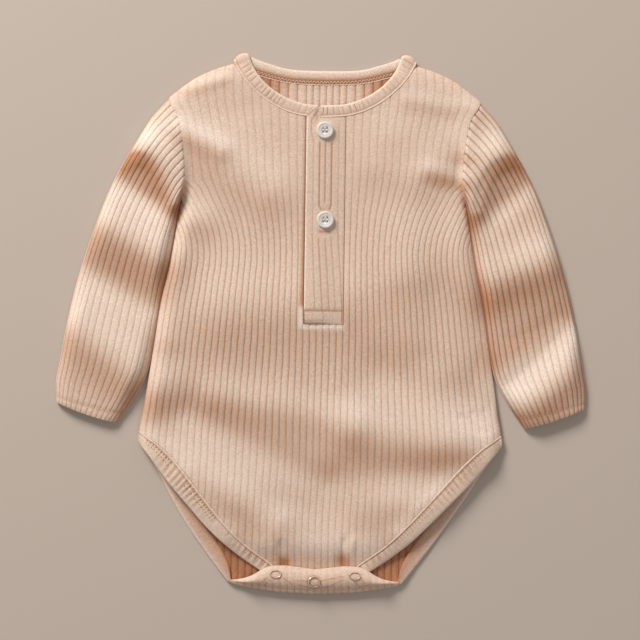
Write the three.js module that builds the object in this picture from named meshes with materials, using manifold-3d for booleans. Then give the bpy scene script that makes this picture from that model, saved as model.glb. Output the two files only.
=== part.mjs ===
// Baby bodysuit in ribbed cotton knit, buttoned and snapped, laid flat on its back.
// Millimetres. +Z is up, +Y runs from crotch to neck, +X is the wearer's left.
// The origin is under the middle of the garment, on the surface that it lies on.
import * as THREE from "three";
import { mergeVertices } from "three/addons/utils/BufferGeometryUtils.js";
import Module from "manifold-3d";

const wasm = await Module();
wasm.setup();

// Driving dimensions of the cloth.
const WALL = 1.2; // knit at the bottom of a groove
const RIB_HEIGHT = 0.5; // how far a rib stands over its grooves
const RIB_SHOULDER = 0.15; // share of a rib's pitch that each flank of a groove takes
const BAND_WALL = 1.8; // a folded binding is two layers
const SEAM_GAP = 0.3; // between two pieces that are sewn together
const ARMHOLE_GAP = 0.8;
const SIDE_GAP = 1.2; // between a sleeve and the side that it lies against
const LAYER_BASE = WALL + SEAM_GAP; // underside of the front where it meets the back
const PUFF = 2.5; // how far the front floats over the back, away from its folds
const LEAST_PUFF = 0.6; // and at the bottom of its deepest trough
const EDGE_ROUND = 15; // distance from a folded edge to full height
const BAND_CROWN = 0.3; // how far a binding's middle stands over its edges
const SHOULDER_SLOPE = 0.85; // cosine of the shoulder line's slope

// The crotch lies a little towards the wearer's right.
const CROTCH_LEAN = { shift: -2.4, from: -90, to: -150 };

// Ribs on half the body: side of them at the hip, of which armhole reach the shoulder,
// flap on half the crotch flap and placket on half the placket. A sleeve has sleeve of them.
const RIBS = { side: 26, armhole: 18, flap: 12, placket: 3, sleeve: 14 };

// Half width of the body at each height, from the shoulder tip down to the hip.
const BODY_SIDE = [
  { y: 182, half: 107.4, ribs: 18 },
  { y: 156.5, half: 109.3, ribs: 18 },
  { y: 142, half: 102.2, ribs: 18 },
  { y: 125, half: 98.8, ribs: 18 },
  { y: 108, half: 97.2, ribs: 18 },
  { y: 99, half: 96.9, ribs: 18 },
  { y: 91.5, half: 98.3, ribs: 19.6 },
  { y: 84, half: 100.1, ribs: 21 },
  { y: 71, half: 102.3, ribs: 23.2 },
  { y: 61, half: 103.8, ribs: 24.8 },
  { y: 51, half: 105.5, ribs: 26 },
  { y: 37, half: 108, ribs: 26 },
  { y: 16, half: 112.6, ribs: 26 },
  { y: -12, half: 116.8, ribs: 26 },
  { y: -40, half: 121, ribs: 26 },
  { y: -61, half: 124.3, ribs: 26 },
  { y: -77.5, half: 127, ribs: 26 },
  { y: -90, half: 127.6, ribs: 26 },
  { y: -190, half: 129, ribs: 26 },
];
const UNDERARM = { x: 100.1, y: 84 };
const ARMHOLE = { waist: 99, foot: 51 }; // between these heights new ribs start at the body's edge

const SHOULDER = [
  { x: 63.8, y: 181.2 },
  { x: 77, y: 177 },
  { x: 91, y: 170.3 },
  { x: 101, y: 163.3 },
  { x: 109.3, y: 156.5 },
];

// Each binding runs between its seam on the cloth and its free edge.
const NECK_FRONT = [
  { seamX: 0, seamY: 143.6, edgeX: 0, edgeY: 152.5 },
  { seamX: 14.7, seamY: 144.7, edgeX: 11.8, edgeY: 153 },
  { seamX: 24, seamY: 146.8, edgeX: 20.1, edgeY: 155 },
  { seamX: 33.5, seamY: 150.8, edgeX: 28.6, edgeY: 158.5 },
  { seamX: 43.3, seamY: 157, edgeX: 37.5, edgeY: 164.1 },
  { seamX: 52.3, seamY: 165, edgeX: 45.3, edgeY: 171.6 },
  { seamX: 59, seamY: 173.1, edgeX: 50.3, edgeY: 179.2 },
  { seamX: 63.8, seamY: 181.2, edgeX: 53.2, edgeY: 187 },
];
const NECK_BACK = [
  { seamX: 63.8, seamY: 181.2, edgeX: 53.2, edgeY: 187 },
  { seamX: 57.5, seamY: 176.8, edgeX: 48.7, edgeY: 184.9 },
  { seamX: 51.5, seamY: 174.4, edgeX: 43.4, edgeY: 182.9 },
  { seamX: 42.4, seamY: 171.8, edgeX: 36, edgeY: 180.7 },
  { seamX: 33, seamY: 169.4, edgeX: 28, edgeY: 178.5 },
  { seamX: 20, seamY: 167.5, edgeX: 17.5, edgeY: 177.3 },
  { seamX: 0, seamY: 166.8, edgeX: 0, edgeY: 177 },
];
const LEG_FRONT = [
  { seamX: 127, seamY: -77.5, edgeX: 127.6, edgeY: -84.8 },
  { seamX: 122.1, seamY: -80.6, edgeX: 124.8, edgeY: -88.6 },
  { seamX: 113.5, seamY: -86, edgeX: 119.6, edgeY: -94.6 },
  { seamX: 105.4, seamY: -92.9, edgeX: 113.6, edgeY: -102.4 },
  { seamX: 97.4, seamY: -101.3, edgeX: 106.4, edgeY: -111.3 },
  { seamX: 81.9, seamY: -119.8, edgeX: 91.3, edgeY: -127.9 },
  { seamX: 64.4, seamY: -140.2, edgeX: 72.5, edgeY: -147.8 },
  { seamX: 47.7, seamY: -156.7, edgeX: 53.6, edgeY: -164 },
  { seamX: 39.5, seamY: -162.8, edgeX: 44.5, edgeY: -170.3 },
  { seamX: 31, seamY: -169, edgeX: 37, edgeY: -175.6 },
  { seamX: 24.5, seamY: -176, edgeX: 33, edgeY: -180.2 },
  { seamX: 21, seamY: -184, edgeX: 30.6, edgeY: -184.4 },
];
const LEG_BACK = [
  { seamX: 127, seamY: -77.5, edgeX: 127.6, edgeY: -84.8 },
  { seamX: 119.5, seamY: -83, edgeX: 124.6, edgeY: -88.8 },
  { seamX: 107, seamY: -95.6, edgeX: 115.7, edgeY: -101.6 },
  { seamX: 95.2, seamY: -116.4, edgeX: 104.1, edgeY: -121.8 },
  { seamX: 78.5, seamY: -142.1, edgeX: 87.2, edgeY: -148 },
  { seamX: 70.2, seamY: -153.6, edgeX: 78.7, edgeY: -159.8 },
  { seamX: 62.9, seamY: -165.5, edgeX: 70.2, edgeY: -171 },
  { seamX: 59.6, seamY: -174.5, edgeX: 64.5, edgeY: -178 },
  { seamX: 58.4, seamY: -181, edgeX: 61, edgeY: -182 },
];

// A sleeve, from the armhole to the cuff. Its inner edge lies along the body's side
// down to innerY, and past the hip it has a place of its own, innerX.
const SLEEVE = [
  { outerX: 109.8, outerY: 156.2, innerX: 0, innerY: 84 },
  { outerX: 121.5, outerY: 143, innerX: 0, innerY: 79 },
  { outerX: 131.5, outerY: 126.8, innerX: 0, innerY: 73 },
  { outerX: 141, outerY: 110.5, innerX: 0, innerY: 65 },
  { outerX: 150, outerY: 92, innerX: 0, innerY: 54 },
  { outerX: 158.5, outerY: 70, innerX: 0, innerY: 39 },
  { outerX: 166.3, outerY: 47, innerX: 0, innerY: 21 },
  { outerX: 173.3, outerY: 22.5, innerX: 0, innerY: 2 },
  { outerX: 179.2, outerY: -4, innerX: 0, innerY: -17 },
  { outerX: 183.4, outerY: -28, innerX: 121.6, innerY: -36 },
  { outerX: 186.2, outerY: -45.5, innerX: 131, innerY: -54.3 },
  { outerX: 185.7, outerY: -57.8, innerX: 142.8, innerY: -72 },
];
const CUFF = { bow: 1.4, from: 0.85 }; // the cuff's line bows out, from this share of the sleeve
const ARMHOLE_REACH = { share: 0.4, fade: 1.6 }; // how far down a sleeve its rows bend like the armhole
const SLEEVE_EDGE = 0.018; // share of a sleeve's width that each rounded edge takes
const SLEEVE_CROWDING = 0.4; // how much closer the ribs stand towards the edges
// Shares of a sleeve's width at which the hollow inside it has points.
const HOLLOW = {
  ceiling: [0.03, 0.08, 0.15, 0.25, 0.36, 0.5, 0.64, 0.75, 0.85, 0.92, 0.97],
  floor: [0.97, 0.75, 0.5, 0.25, 0.03],
};

// Henley placket: the upper strip overlaps the under strip, which carries the buttons.
const PLACKET = { centre: 1.15, half: 14, right: 14.85, top: 143.6, foot: -0.6, box: 9, underRight: 8.6 };
const PLACKET_LEFT = PLACKET.centre - PLACKET.half + SEAM_GAP;
const PLACKET_TOP = PLACKET.top - SEAM_GAP;
const PLACKET_WALL = WALL + 0.1;
const PLACKET_CLEAR = 0.2; // between the two strips, over the seam gap
const PLACKET_ROWS = [25, 42, 58, 72, 86, 104, 120, 134.7]; // heights of its rows over the box
const PLACKET_UNDER = { columns: [-8, -3, 3], overBox: 1.5 }; // the under strip ends over the box
const NOTCH_Y = PLACKET.foot - SEAM_GAP; // foot of the front's notch for the placket
const SHIFT = { full: -10, none: -80 }; // heights between which ribs take up the placket's offset
// The strip's upper left corner runs up to the neck's edge.
const PLACKET_EAR = [
  { x: -12.55, y: 144.1 },
  { x: -9.2, y: 147.2 },
  { x: -6, y: 150 },
  { x: -2.9, y: 151.9 },
];
const EAR_GAP = { x: 1.4, y: 0.5 }; // from the corner's tip to the binding beside it
const BAND_STARTS = [-2, 6]; // where the left binding starts over the placket
const NECK_TURN = [1, 0.66, 0.33]; // shares of a half turn at which the binding turns over at a shoulder
const BUTTONS = [
  { x: 0.5, y: 134.7 },
  { x: 1.6, y: 72.1 },
];
const BUTTON = {
  radius: 6,
  height: 2.3,
  bevel: 0.7,
  rim: 0.6,
  dish: 3.9,
  hole: 0.75,
  holeRing: 1.55,
  sides: 28,
  holeSides: 10,
};

// The back's crotch end folds over the front and is closed by three ring snaps.
const FLAP = {
  half: 59,
  tight: 44, // from here to its ends the fold gets tighter
  foldRadius: 2.45,
  endRadius: 1.6,
  shortest: 1, // length of the flap at its ends
  arch: 3,
  skew: 0.85,
  rib: 0.25,
  ribsAt: -186, // height at which its ribs are laid out
  foldRows: 4,
  rows: 4,
};
const FLAP_FOOT = [
  { x: 0, y: -190 },
  { x: 25, y: -188.9 },
  { x: 40, y: -186.9 },
  { x: 52, y: -184.9 },
  { x: 59, y: -183.4 },
];
const FLAP_TOP = [
  { x: 0, y: -172.6 },
  { x: 12, y: -171.2 },
  { x: 22, y: -170.2 },
  { x: 30, y: -170.6 },
  { x: 36, y: -172.6 },
  { x: 43, y: -176.9 },
  { x: 50, y: -179.6 },
  { x: 59, y: -181.4 },
];
const SNAPS = [
  { name: "snap_right", x: -27.5, y: -175.6, squash: 0.6 },
  { name: "snap_middle", x: -0.5, y: -180.8, squash: 0.95 },
  { name: "snap_left", x: 28, y: -176.2, squash: 0.6 },
];
const SNAP = { radius: 4.5, width: 0.9, height: 0.7, lift: 0.4, parts: 24 };

// The flap presses the front flat between these two heights.
const PRESSED = { full: -171, none: -146, left: 0.1 };

// The largest folds of the upper layer: soft ridges and troughs along a line.
// height is at the line, width is the distance at which it has dropped to a third.
const FOLDS = [
  { x1: -70, y1: 166, x2: -104, y2: 150, width: 7, height: 1.6 },
  { x1: 70, y1: 166, x2: 104, y2: 150, width: 7, height: 1.6 },
  { x1: -50, y1: 150, x2: -90, y2: 138, width: 8, height: -1.4 },
  { x1: 50, y1: 150, x2: 90, y2: 138, width: 8, height: -1.4 },
  { x1: -97, y1: 128, x2: -40, y2: 92, width: 18, height: 1.8 },
  { x1: 92, y1: 124, x2: 52, y2: 84, width: 18, height: 1.5 },
  { x1: -133, y1: 119, x2: -104, y2: 88, width: 10, height: 3.6 },
  { x1: 124, y1: 123, x2: 105, y2: 92, width: 10, height: 3.4 },
  { x1: -143, y1: 98, x2: -106, y2: 74, width: 10, height: -2 },
  { x1: 142, y1: 96, x2: 109, y2: 76, width: 10, height: -2 },
  { x1: -158, y1: 68, x2: -114, y2: 50, width: 11, height: 3 },
  { x1: 160, y1: 44, x2: 120, y2: 24, width: 13, height: 3.2 },
  { x1: -168, y1: 38, x2: -120, y2: 22, width: 10, height: -1.6 },
  { x1: 174, y1: 8, x2: 126, y2: -24, width: 11, height: -1.6 },
  { x1: -176, y1: -2, x2: -128, y2: -34, width: 13, height: 3.2 },
  { x1: 178, y1: -14, x2: 136, y2: -48, width: 10, height: 2.6 },
  { x1: -118, y1: -84, x2: -52, y2: -102, width: 15, height: 1.8 },
  { x1: 118, y1: -70, x2: 34, y2: -84, width: 13, height: 2 },
  { x1: 100, y1: -96, x2: 10, y2: -104, width: 11, height: -1.3 },
  { x1: 70, y1: -122, x2: -10, y2: -126, width: 15, height: 1.6 },
  { x1: 92, y1: -20, x2: 60, y2: 40, width: 22, height: 1.2 },
  { x1: -92, y1: -30, x2: -58, y2: 30, width: 24, height: 1.1 },
  { x1: -98, y1: -112, x2: -62, y2: -150, width: 9, height: 2.6 },
  { x1: 98, y1: -112, x2: 62, y2: -148, width: 9, height: 2.6 },
];

// Monotone cubic through a table's rows, from one named column to another.
function curve(rows, from, to) {
  const sorted = [...rows].sort((a, b) => a[from] - b[from]);
  const x = sorted.map((row) => row[from]);
  const y = sorted.map((row) => row[to]);
  const slope = x.slice(1).map((value, i) => (y[i + 1] - y[i]) / (value - x[i]));
  const tangent = x.map((_, i) => {
    if (i === 0) return slope[0];
    if (i === x.length - 1) return slope[i - 1];
    const product = slope[i - 1] * slope[i];
    return product <= 0 ? 0 : (2 * product) / (slope[i - 1] + slope[i]);
  });
  return (at) => {
    if (at <= x[0]) return y[0];
    if (at >= x[x.length - 1]) return y[y.length - 1];
    const i = x.findIndex((value) => value > at) - 1;
    const step = x[i + 1] - x[i];
    const t = (at - x[i]) / step;
    const t2 = t * t;
    const t3 = t2 * t;
    return (
      (2 * t3 - 3 * t2 + 1) * y[i] +
      (t3 - 2 * t2 + t) * step * tangent[i] +
      (3 * t2 - 2 * t3) * y[i + 1] +
      (t3 - t2) * step * tangent[i + 1]
    );
  };
}

// A table's rows as one smooth path: share 0 is the first row and 1 the last.
function path(rows, ...names) {
  const numbered = rows.map((row, i) => ({ ...row, share: i / (rows.length - 1) }));
  const curves = names.map((name) => curve(numbered, "share", name));
  return (share) => curves.map((value) => value(share));
}

const clamp01 = (value) => Math.min(1, Math.max(0, value));
const ramp = (value) => clamp01(value) ** 2 * (3 - 2 * clamp01(value));
const mix = (a, b, share) => a + (b - a) * share;
const range = (count) => Array.from({ length: count }, (_, i) => i);

const bodyHalf = curve(BODY_SIDE, "y", "half");
const bodyRibs = curve(BODY_SIDE, "y", "ribs");
const shoulderY = curve(SHOULDER, "x", "y");
const neckFrontY = curve(NECK_FRONT, "seamX", "seamY");
const neckBackY = curve(NECK_BACK, "seamX", "seamY");
const legFrontY = curve(LEG_FRONT, "seamX", "seamY");
const legBackY = curve(LEG_BACK, "seamX", "seamY");
const flapFootY = curve(FLAP_FOOT, "x", "y");
const flapTopY = curve(FLAP_TOP, "x", "y");
const earY = curve(PLACKET_EAR, "x", "y");
const armholeRows = BODY_SIDE.filter((row) => row.y <= ARMHOLE.waist && row.y >= ARMHOLE.foot);
const armholeY = curve(armholeRows, "ribs", "y");

function lean(y) {
  const { shift, from, to } = CROTCH_LEAN;
  return shift * ramp((from - y) / (from - to));
}

function folds(x, y) {
  return FOLDS.reduce((sum, fold) => {
    const dx = fold.x2 - fold.x1;
    const dy = fold.y2 - fold.y1;
    const along = clamp01(((x - fold.x1) * dx + (y - fold.y1) * dy) / (dx * dx + dy * dy));
    const away = Math.hypot(x - fold.x1 - along * dx, y - fold.y1 - along * dy);
    return sum + fold.height * Math.exp(-((away / fold.width) ** 2));
  }, 0);
}

// Distance on the body from the nearest folded edge: side seam, underarm or shoulder.
function bodyInset(x, y) {
  const across = Math.abs(x);
  const toShoulder = (shoulderY(across) - y) * SHOULDER_SLOPE;
  const toSide =
    y < UNDERARM.y
      ? bodyHalf(y) - across
      : Math.hypot(Math.max(0, UNDERARM.x - across), y - UNDERARM.y);
  return Math.max(0, Math.min(toShoulder, toSide));
}

const roundness = (inset) => Math.sin((Math.PI / 2) * clamp01(inset / EDGE_ROUND));

// Underside of the upper layer at a point, given its distance from a folded edge.
function layerHeight(x, y, inset) {
  const free = ramp((y - PRESSED.full) / (PRESSED.none - PRESSED.full));
  const puff = Math.max(LEAST_PUFF, PUFF + folds(x, y));
  return LAYER_BASE + roundness(inset) * mix(PRESSED.left, puff, free);
}

const bodyHeight = (x, y) => layerHeight(x, y, bodyInset(x, y));

// Where rib line r of the body is at a height. Three ribs lie on each half of the placket.
function ribX(r, y) {
  const count = Math.abs(r);
  const side = Math.sign(r);
  const shift = PLACKET.centre * ramp((y - SHIFT.none) / (SHIFT.full - SHIFT.none));
  if (count <= RIBS.placket) return shift + (r / RIBS.placket) * PLACKET.half;
  const share = (count - RIBS.placket) / (bodyRibs(y) - RIBS.placket);
  return side * mix(PLACKET.half + side * shift, bodyHalf(y), share);
}

// Point where a rib line meets an outline that gives y for a distance from the middle.
// The search starts inside the outline and goes part of the way at each turn.
const SEARCH = { turns: 14, share: 0.6, leg: -120, neck: 150 };

function meet(r, outline, start) {
  let y = start;
  for (let turn = 0; turn < SEARCH.turns; turn += 1) {
    y = mix(y, outline(Math.abs(ribX(r, y))), SEARCH.share);
  }
  return { x: ribX(r, y), y };
}

const CORNER_X = SHOULDER[0].x; // where the neck seam meets the shoulder
const frontTop = (x) => (x < CORNER_X ? neckFrontY(x) : shoulderY(x));
const backTop = (x) => (x < CORNER_X ? neckBackY(x) : shoulderY(x));

function middleY(r) {
  return Math.abs(r) <= RIBS.armhole ? ARMHOLE.waist : armholeY(Math.abs(r));
}

// Height of a row line on rib line r. Each block of rows is a list of shares.
function rowY(r, k, rows, bottomY, topY) {
  if (k <= rows.low.length - 1) return mix(bottomY, NOTCH_Y, rows.low[k]);
  const above = k - (rows.low.length - 1);
  if (above <= rows.middle) return mix(NOTCH_Y, middleY(r), above / rows.middle);
  return mix(middleY(r), topY, (above - rows.middle) / rows.high);
}

function solidGeometry(positions, index) {
  const corner = (i) => new THREE.Vector3().fromArray(positions, 3 * i);
  let volume = 0;
  for (let i = 0; i < index.length; i += 3) {
    const [a, b, c] = [corner(index[i]), corner(index[i + 1]), corner(index[i + 2])];
    volume += a.dot(b.cross(c));
  }
  const geometry = new THREE.BufferGeometry();
  geometry.setAttribute("position", new THREE.Float32BufferAttribute(positions, 3));
  geometry.setIndex(volume < 0 ? [...index].reverse() : index);
  geometry.computeVertexNormals();
  return geometry;
}

// Triangles between two chains of points, each point a pair of number and place.
function zip(low, high) {
  const triangles = [];
  let a = 0;
  let b = 0;
  while (a < low.length - 1 || b < high.length - 1) {
    const lowNext = a < low.length - 1 ? low[a + 1][1] : Infinity;
    const highNext = b < high.length - 1 ? high[b + 1][1] : Infinity;
    if (lowNext <= highNext) {
      triangles.push(low[a][0], low[a + 1][0], high[b][0]);
      a += 1;
    } else {
      triangles.push(low[a][0], high[b + 1][0], high[b][0]);
      b += 1;
    }
  }
  return triangles;
}

// One closed cloth panel over a grid of columns and rows. The outside has more points in
// a cell, at the marks of its row line. The inside is plain.
function panel({ columns, rows, keep, marks, outside, inside }) {
  const positions = [];
  const index = [];
  const numbers = new Map();
  const number = (key, point) => {
    if (!numbers.has(key)) {
      const p = point();
      numbers.set(key, positions.length / 3);
      positions.push(p.x + lean(p.y), p.y, p.z);
    }
    return numbers.get(key);
  };
  const outer = (i, mark, k) => {
    const step = i < columns.length - 1 ? columns[i + 1] - columns[i] : 0;
    const r = columns[i] + mark * step;
    return number(`outside ${r} ${k}`, () => outside(r, k, mark > 0));
  };
  const inner = (i, k) => number(`inside ${i} ${k}`, () => inside(columns[i], k));
  const chain = (i, k) => [...marks(k).map((mark) => [outer(i, mark, k), mark]), [outer(i + 1, 0, k), 1]];
  const kept = (i, k) => i >= 0 && i < columns.length - 1 && k >= 0 && k < rows && keep(i, k);
  for (const i of range(columns.length - 1)) {
    for (const k of range(rows).filter((row) => kept(i, row))) {
      const [a, b, c, d] = [inner(i, k), inner(i + 1, k), inner(i + 1, k + 1), inner(i, k + 1)];
      index.push(...zip(chain(i, k), chain(i, k + 1)));
      index.push(a, c, b, a, d, c);
      if (!kept(i, k - 1)) index.push(...zip([[a, 0], [b, 1]], chain(i, k)));
      if (!kept(i, k + 1)) index.push(...zip(chain(i, k + 1), [[d, 0], [c, 1]]));
      if (!kept(i - 1, k)) index.push(d, a, outer(i, 0, k), d, outer(i, 0, k), outer(i, 0, k + 1));
      if (!kept(i + 1, k)) {
        index.push(b, c, outer(i + 1, 0, k + 1), b, outer(i + 1, 0, k + 1), outer(i + 1, 0, k));
      }
    }
  }
  return solidGeometry(positions, index);
}

// Joins closed rings of points, all of one length, into a solid capped at both ends.
function loft(rings) {
  const count = rings[0].length;
  const positions = rings.flat().flatMap((p) => [p.x + lean(p.y), p.y, p.z]);
  const index = [];
  for (const s of range(rings.length - 1)) {
    for (const i of range(count)) {
      const [a, b] = [s * count + i, s * count + ((i + 1) % count)];
      index.push(a, b, b + count, a, b + count, a + count);
    }
  }
  const last = (rings.length - 1) * count;
  for (const i of range(count - 2)) {
    index.push(0, i + 2, i + 1, last, last + i + 1, last + i + 2);
  }
  return solidGeometry(positions, index);
}

// A tube with two open ends, from outer and inner rings. Each point has a place on its ring.
function tube(outerRings, innerRings) {
  const positions = [];
  const index = [];
  const addRing = (ring) =>
    ring.map((p) => {
      positions.push(p.x, p.y, p.z);
      return [positions.length / 3 - 1, p.place];
    });
  const close = (ring) => [...ring, [ring[0][0], 1]];
  const outer = outerRings.map((ring) => close(addRing(ring)));
  const inner = innerRings.map((ring) => close(addRing(ring)));
  for (const s of range(outer.length - 1)) {
    index.push(...zip(outer[s], outer[s + 1]));
    index.push(...zip(inner[s + 1], inner[s]));
  }
  index.push(...zip(inner[0], outer[0]));
  index.push(...zip(outer.at(-1), inner.at(-1)));
  return solidGeometry(positions, index);
}

// A point between two columns lies straight between theirs, so that seams run along chords.
function between(columns, r, point) {
  const next = columns.findIndex((column) => column >= r);
  if (columns[next] === r) return point(r);
  const [low, high] = [columns[next - 1], columns[next]];
  const share = (r - low) / (high - low);
  const [a, b] = [point(low), point(high)];
  return { x: mix(a.x, b.x, share), y: mix(a.y, b.y, share) };
}

const PLAIN_MARKS = [0];
const RIB_MARKS = [0, RIB_SHOULDER, 1 - RIB_SHOULDER];
const FRONT_ROWS = { low: [0, 0.07, 0.19, 0.35, 0.54, 0.76, 1], middle: 4, high: 4 };
const BACK_ROWS = { low: [0, 0.3, 0.65, 1], middle: 2, high: 3 };

function frontBody() {
  const lowRows = FRONT_ROWS.low.length - 1;
  const rows = lowRows + FRONT_ROWS.middle + FRONT_ROWS.high;
  const columns = range(2 * RIBS.side + 1).map((i) => i - RIBS.side);
  const at = (r, k) => {
    const bottom = meet(r, legFrontY, SEARCH.leg).y;
    const top = Math.abs(r) > RIBS.armhole ? 0 : meet(r, frontTop, SEARCH.neck).y;
    const y = rowY(r, k, FRONT_ROWS, bottom, top);
    return { x: ribX(r, y), y };
  };
  const lift = (p, height) => ({ ...p, z: bodyHeight(p.x, p.y) + height });
  const keep = (i, k) => {
    const middle = Math.abs(columns[i] + 0.5);
    if (middle < RIBS.placket && k >= lowRows) return false;
    return middle < RIBS.armhole || k < lowRows + FRONT_ROWS.middle;
  };
  return panel({
    columns,
    rows,
    keep,
    marks: () => RIB_MARKS,
    outside: (r, k, onRib) => {
      const plan = between(columns, r, (column) => at(column, k));
      return lift(plan, WALL + (onRib ? RIB_HEIGHT : 0));
    },
    inside: (r, k) => lift(at(r, k), 0),
  });
}

// The flap's fold at a distance from the middle: its foot, end, radius and height.
function flapFold(x) {
  const across = Math.abs(x);
  const taper = ramp((across - FLAP.tight) / (FLAP.half - FLAP.tight));
  const radius = mix(FLAP.foldRadius, FLAP.endRadius, taper);
  const centreY = flapFootY(across) + radius;
  const endY = Math.max(flapTopY(across), centreY + FLAP.shortest);
  return { radius, centreY, endY, arch: FLAP.arch * (1 - taper) };
}

function flapArch(share) {
  return Math.sin(Math.PI * share ** FLAP.skew);
}

// A point of the flap. step runs from 0 at the back, over the fold, to the flap's end.
function flapPoint(r, step, outward) {
  const x = ribX(r, FLAP.ribsAt);
  const { radius, centreY, endY, arch } = flapFold(x);
  const reach = radius - WALL + outward;
  if (step <= FLAP.foldRows) {
    const turn = (Math.PI * step) / FLAP.foldRows;
    return { x, y: centreY - reach * Math.sin(turn), z: radius - reach * Math.cos(turn) };
  }
  const share = (step - FLAP.foldRows) / FLAP.rows;
  return { x, y: mix(centreY, endY, share), z: radius + reach + arch * flapArch(share) };
}

function backBody() {
  const lowRows = BACK_ROWS.low.length - 1;
  const flapRows = FLAP.foldRows + FLAP.rows;
  const rows = flapRows + lowRows + BACK_ROWS.middle + BACK_ROWS.high;
  const columns = range(2 * RIBS.side + 1)
    .map((i) => i - RIBS.side)
    .filter((r) => Math.abs(r) <= RIBS.flap + 1 || r % 2 === 0);
  const at = (r, k) => {
    const onFlap = Math.abs(r) <= RIBS.flap;
    const flapX = ribX(r, FLAP.ribsAt);
    const bottom = onFlap ? flapFold(flapX).centreY : meet(r, legBackY, SEARCH.leg).y;
    const top = Math.abs(r) > RIBS.armhole ? 0 : meet(r, backTop, SEARCH.neck).y;
    const y = rowY(r, k - flapRows, BACK_ROWS, bottom, top);
    const x = k === flapRows && onFlap ? flapX : ribX(r, y);
    return { x, y };
  };
  const keep = (i, k) => {
    const middle = Math.abs(columns[i] + 0.5);
    if (k < flapRows) return middle < RIBS.flap;
    return middle < RIBS.armhole || k < flapRows + lowRows + BACK_ROWS.middle;
  };
  return panel({
    columns,
    rows,
    keep,
    marks: (k) => (k <= flapRows - 2 ? RIB_MARKS : PLAIN_MARKS),
    outside: (r, k, onRib) =>
      k < flapRows ? flapPoint(r, flapRows - k, WALL + (onRib ? FLAP.rib : 0)) : { ...at(r, k), z: 0 },
    inside: (r, k) => (k < flapRows ? flapPoint(r, flapRows - k, 0) : { ...at(r, k), z: WALL }),
  });
}

// A binding's cross-section from its seam to its edge: inner face, then outer face.
function bandRing(seam, edge, outward, height) {
  const ease = (p, face) => p.clone().addScaledVector(outward, face);
  const middle = seam.clone().lerp(edge, 0.5);
  const low = height - BAND_CROWN;
  return [ease(seam, 0), ease(edge, 0), ease(edge, low), ease(middle, height), ease(seam, low)];
}

// Moves a seam point into the seam gap, towards the binding's edge.
function intoGap(seam, edge, gap) {
  return seam.clone().addScaledVector(edge.clone().sub(seam).normalize(), gap);
}

const UP = new THREE.Vector3(0, 0, 1);
const BAND_BASE = BAND_WALL + SEAM_GAP; // underside of a binding over another one

function frontBandRing(seam, edge) {
  const start = intoGap(seam, edge, SEAM_GAP);
  const least = seam.y < PRESSED.none ? LAYER_BASE : BAND_BASE;
  for (const p of [start, edge]) p.z = Math.max(least, bodyHeight(p.x, p.y));
  return bandRing(start, edge, UP, BAND_WALL);
}

function backBandRing(seam, edge) {
  const start = intoGap(seam, edge, SEAM_GAP);
  for (const p of [start, edge]) p.z = BAND_WALL;
  return bandRing(start, edge, UP.clone().negate(), BAND_WALL).map(restedFlat);
}

// The underside of a binding has no crown where it rests.
function restedFlat(p) {
  if (p.z <= BAND_CROWN) p.z = 0;
  return p;
}

// Seam and edge of a binding next to a body point, from one of the tables above.
function bandStation(table, point) {
  const across = Math.abs(point.x);
  const side = Math.sign(point.x) || 1;
  const x = side * curve(table, "seamX", "edgeX")(across);
  const y = curve(table, "seamX", "edgeY")(across);
  return [new THREE.Vector3(point.x, point.y, 0), new THREE.Vector3(x, y, 0)];
}

function legBandFront(side) {
  const first = RIBS.placket + 1;
  const ribs = range(RIBS.side - first + 1).map((i) => side * (i + first));
  return loft(ribs.map((r) => frontBandRing(...bandStation(LEG_FRONT, meet(r, legFrontY, SEARCH.leg)))));
}

function legBandBack(side) {
  const ribs = range(RIBS.side - RIBS.flap).map((i) => side * (i + RIBS.flap + 1));
  const kept = ribs.filter((r) => Math.abs(r) === RIBS.flap + 1 || r % 2 === 0);
  const end = { x: side * FLAP.half, y: flapTopY(FLAP.half) };
  const stations = [end, ...kept.map((r) => meet(r, legBackY, SEARCH.leg))];
  return loft(stations.map((point) => backBandRing(...bandStation(LEG_BACK, point))));
}

// Number of the rib line that reaches the neck or shoulder at a distance from the middle.
function ribNumber(x) {
  const top = BODY_SIDE[0].half;
  return mix(RIBS.placket, RIBS.armhole, (x - PLACKET.half) / (top - PLACKET.half));
}

// Turns a binding over at the shoulder: angle 0 is the back's, PI is the front's.
function neckTurnRing(side, angle) {
  const corner = { x: side * CORNER_X, y: SHOULDER[0].y };
  const [seam, edge] = bandStation(NECK_FRONT, corner);
  const start = intoGap(seam, edge, SEAM_GAP);
  const along = edge.clone().sub(seam).normalize();
  const away = new THREE.Vector3(side * Math.abs(along.y), Math.abs(along.x), 0);
  const outward = away.clone().multiplyScalar(Math.sin(angle)).addScaledVector(UP, -Math.cos(angle));
  const innerRadius = SEAM_GAP / 2;
  const centre = new THREE.Vector3(0, 0, BAND_WALL + innerRadius);
  const face = (p) => p.clone().add(centre).addScaledVector(outward, innerRadius);
  return bandRing(face(start), face(edge), outward, BAND_WALL).map(restedFlat);
}

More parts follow.
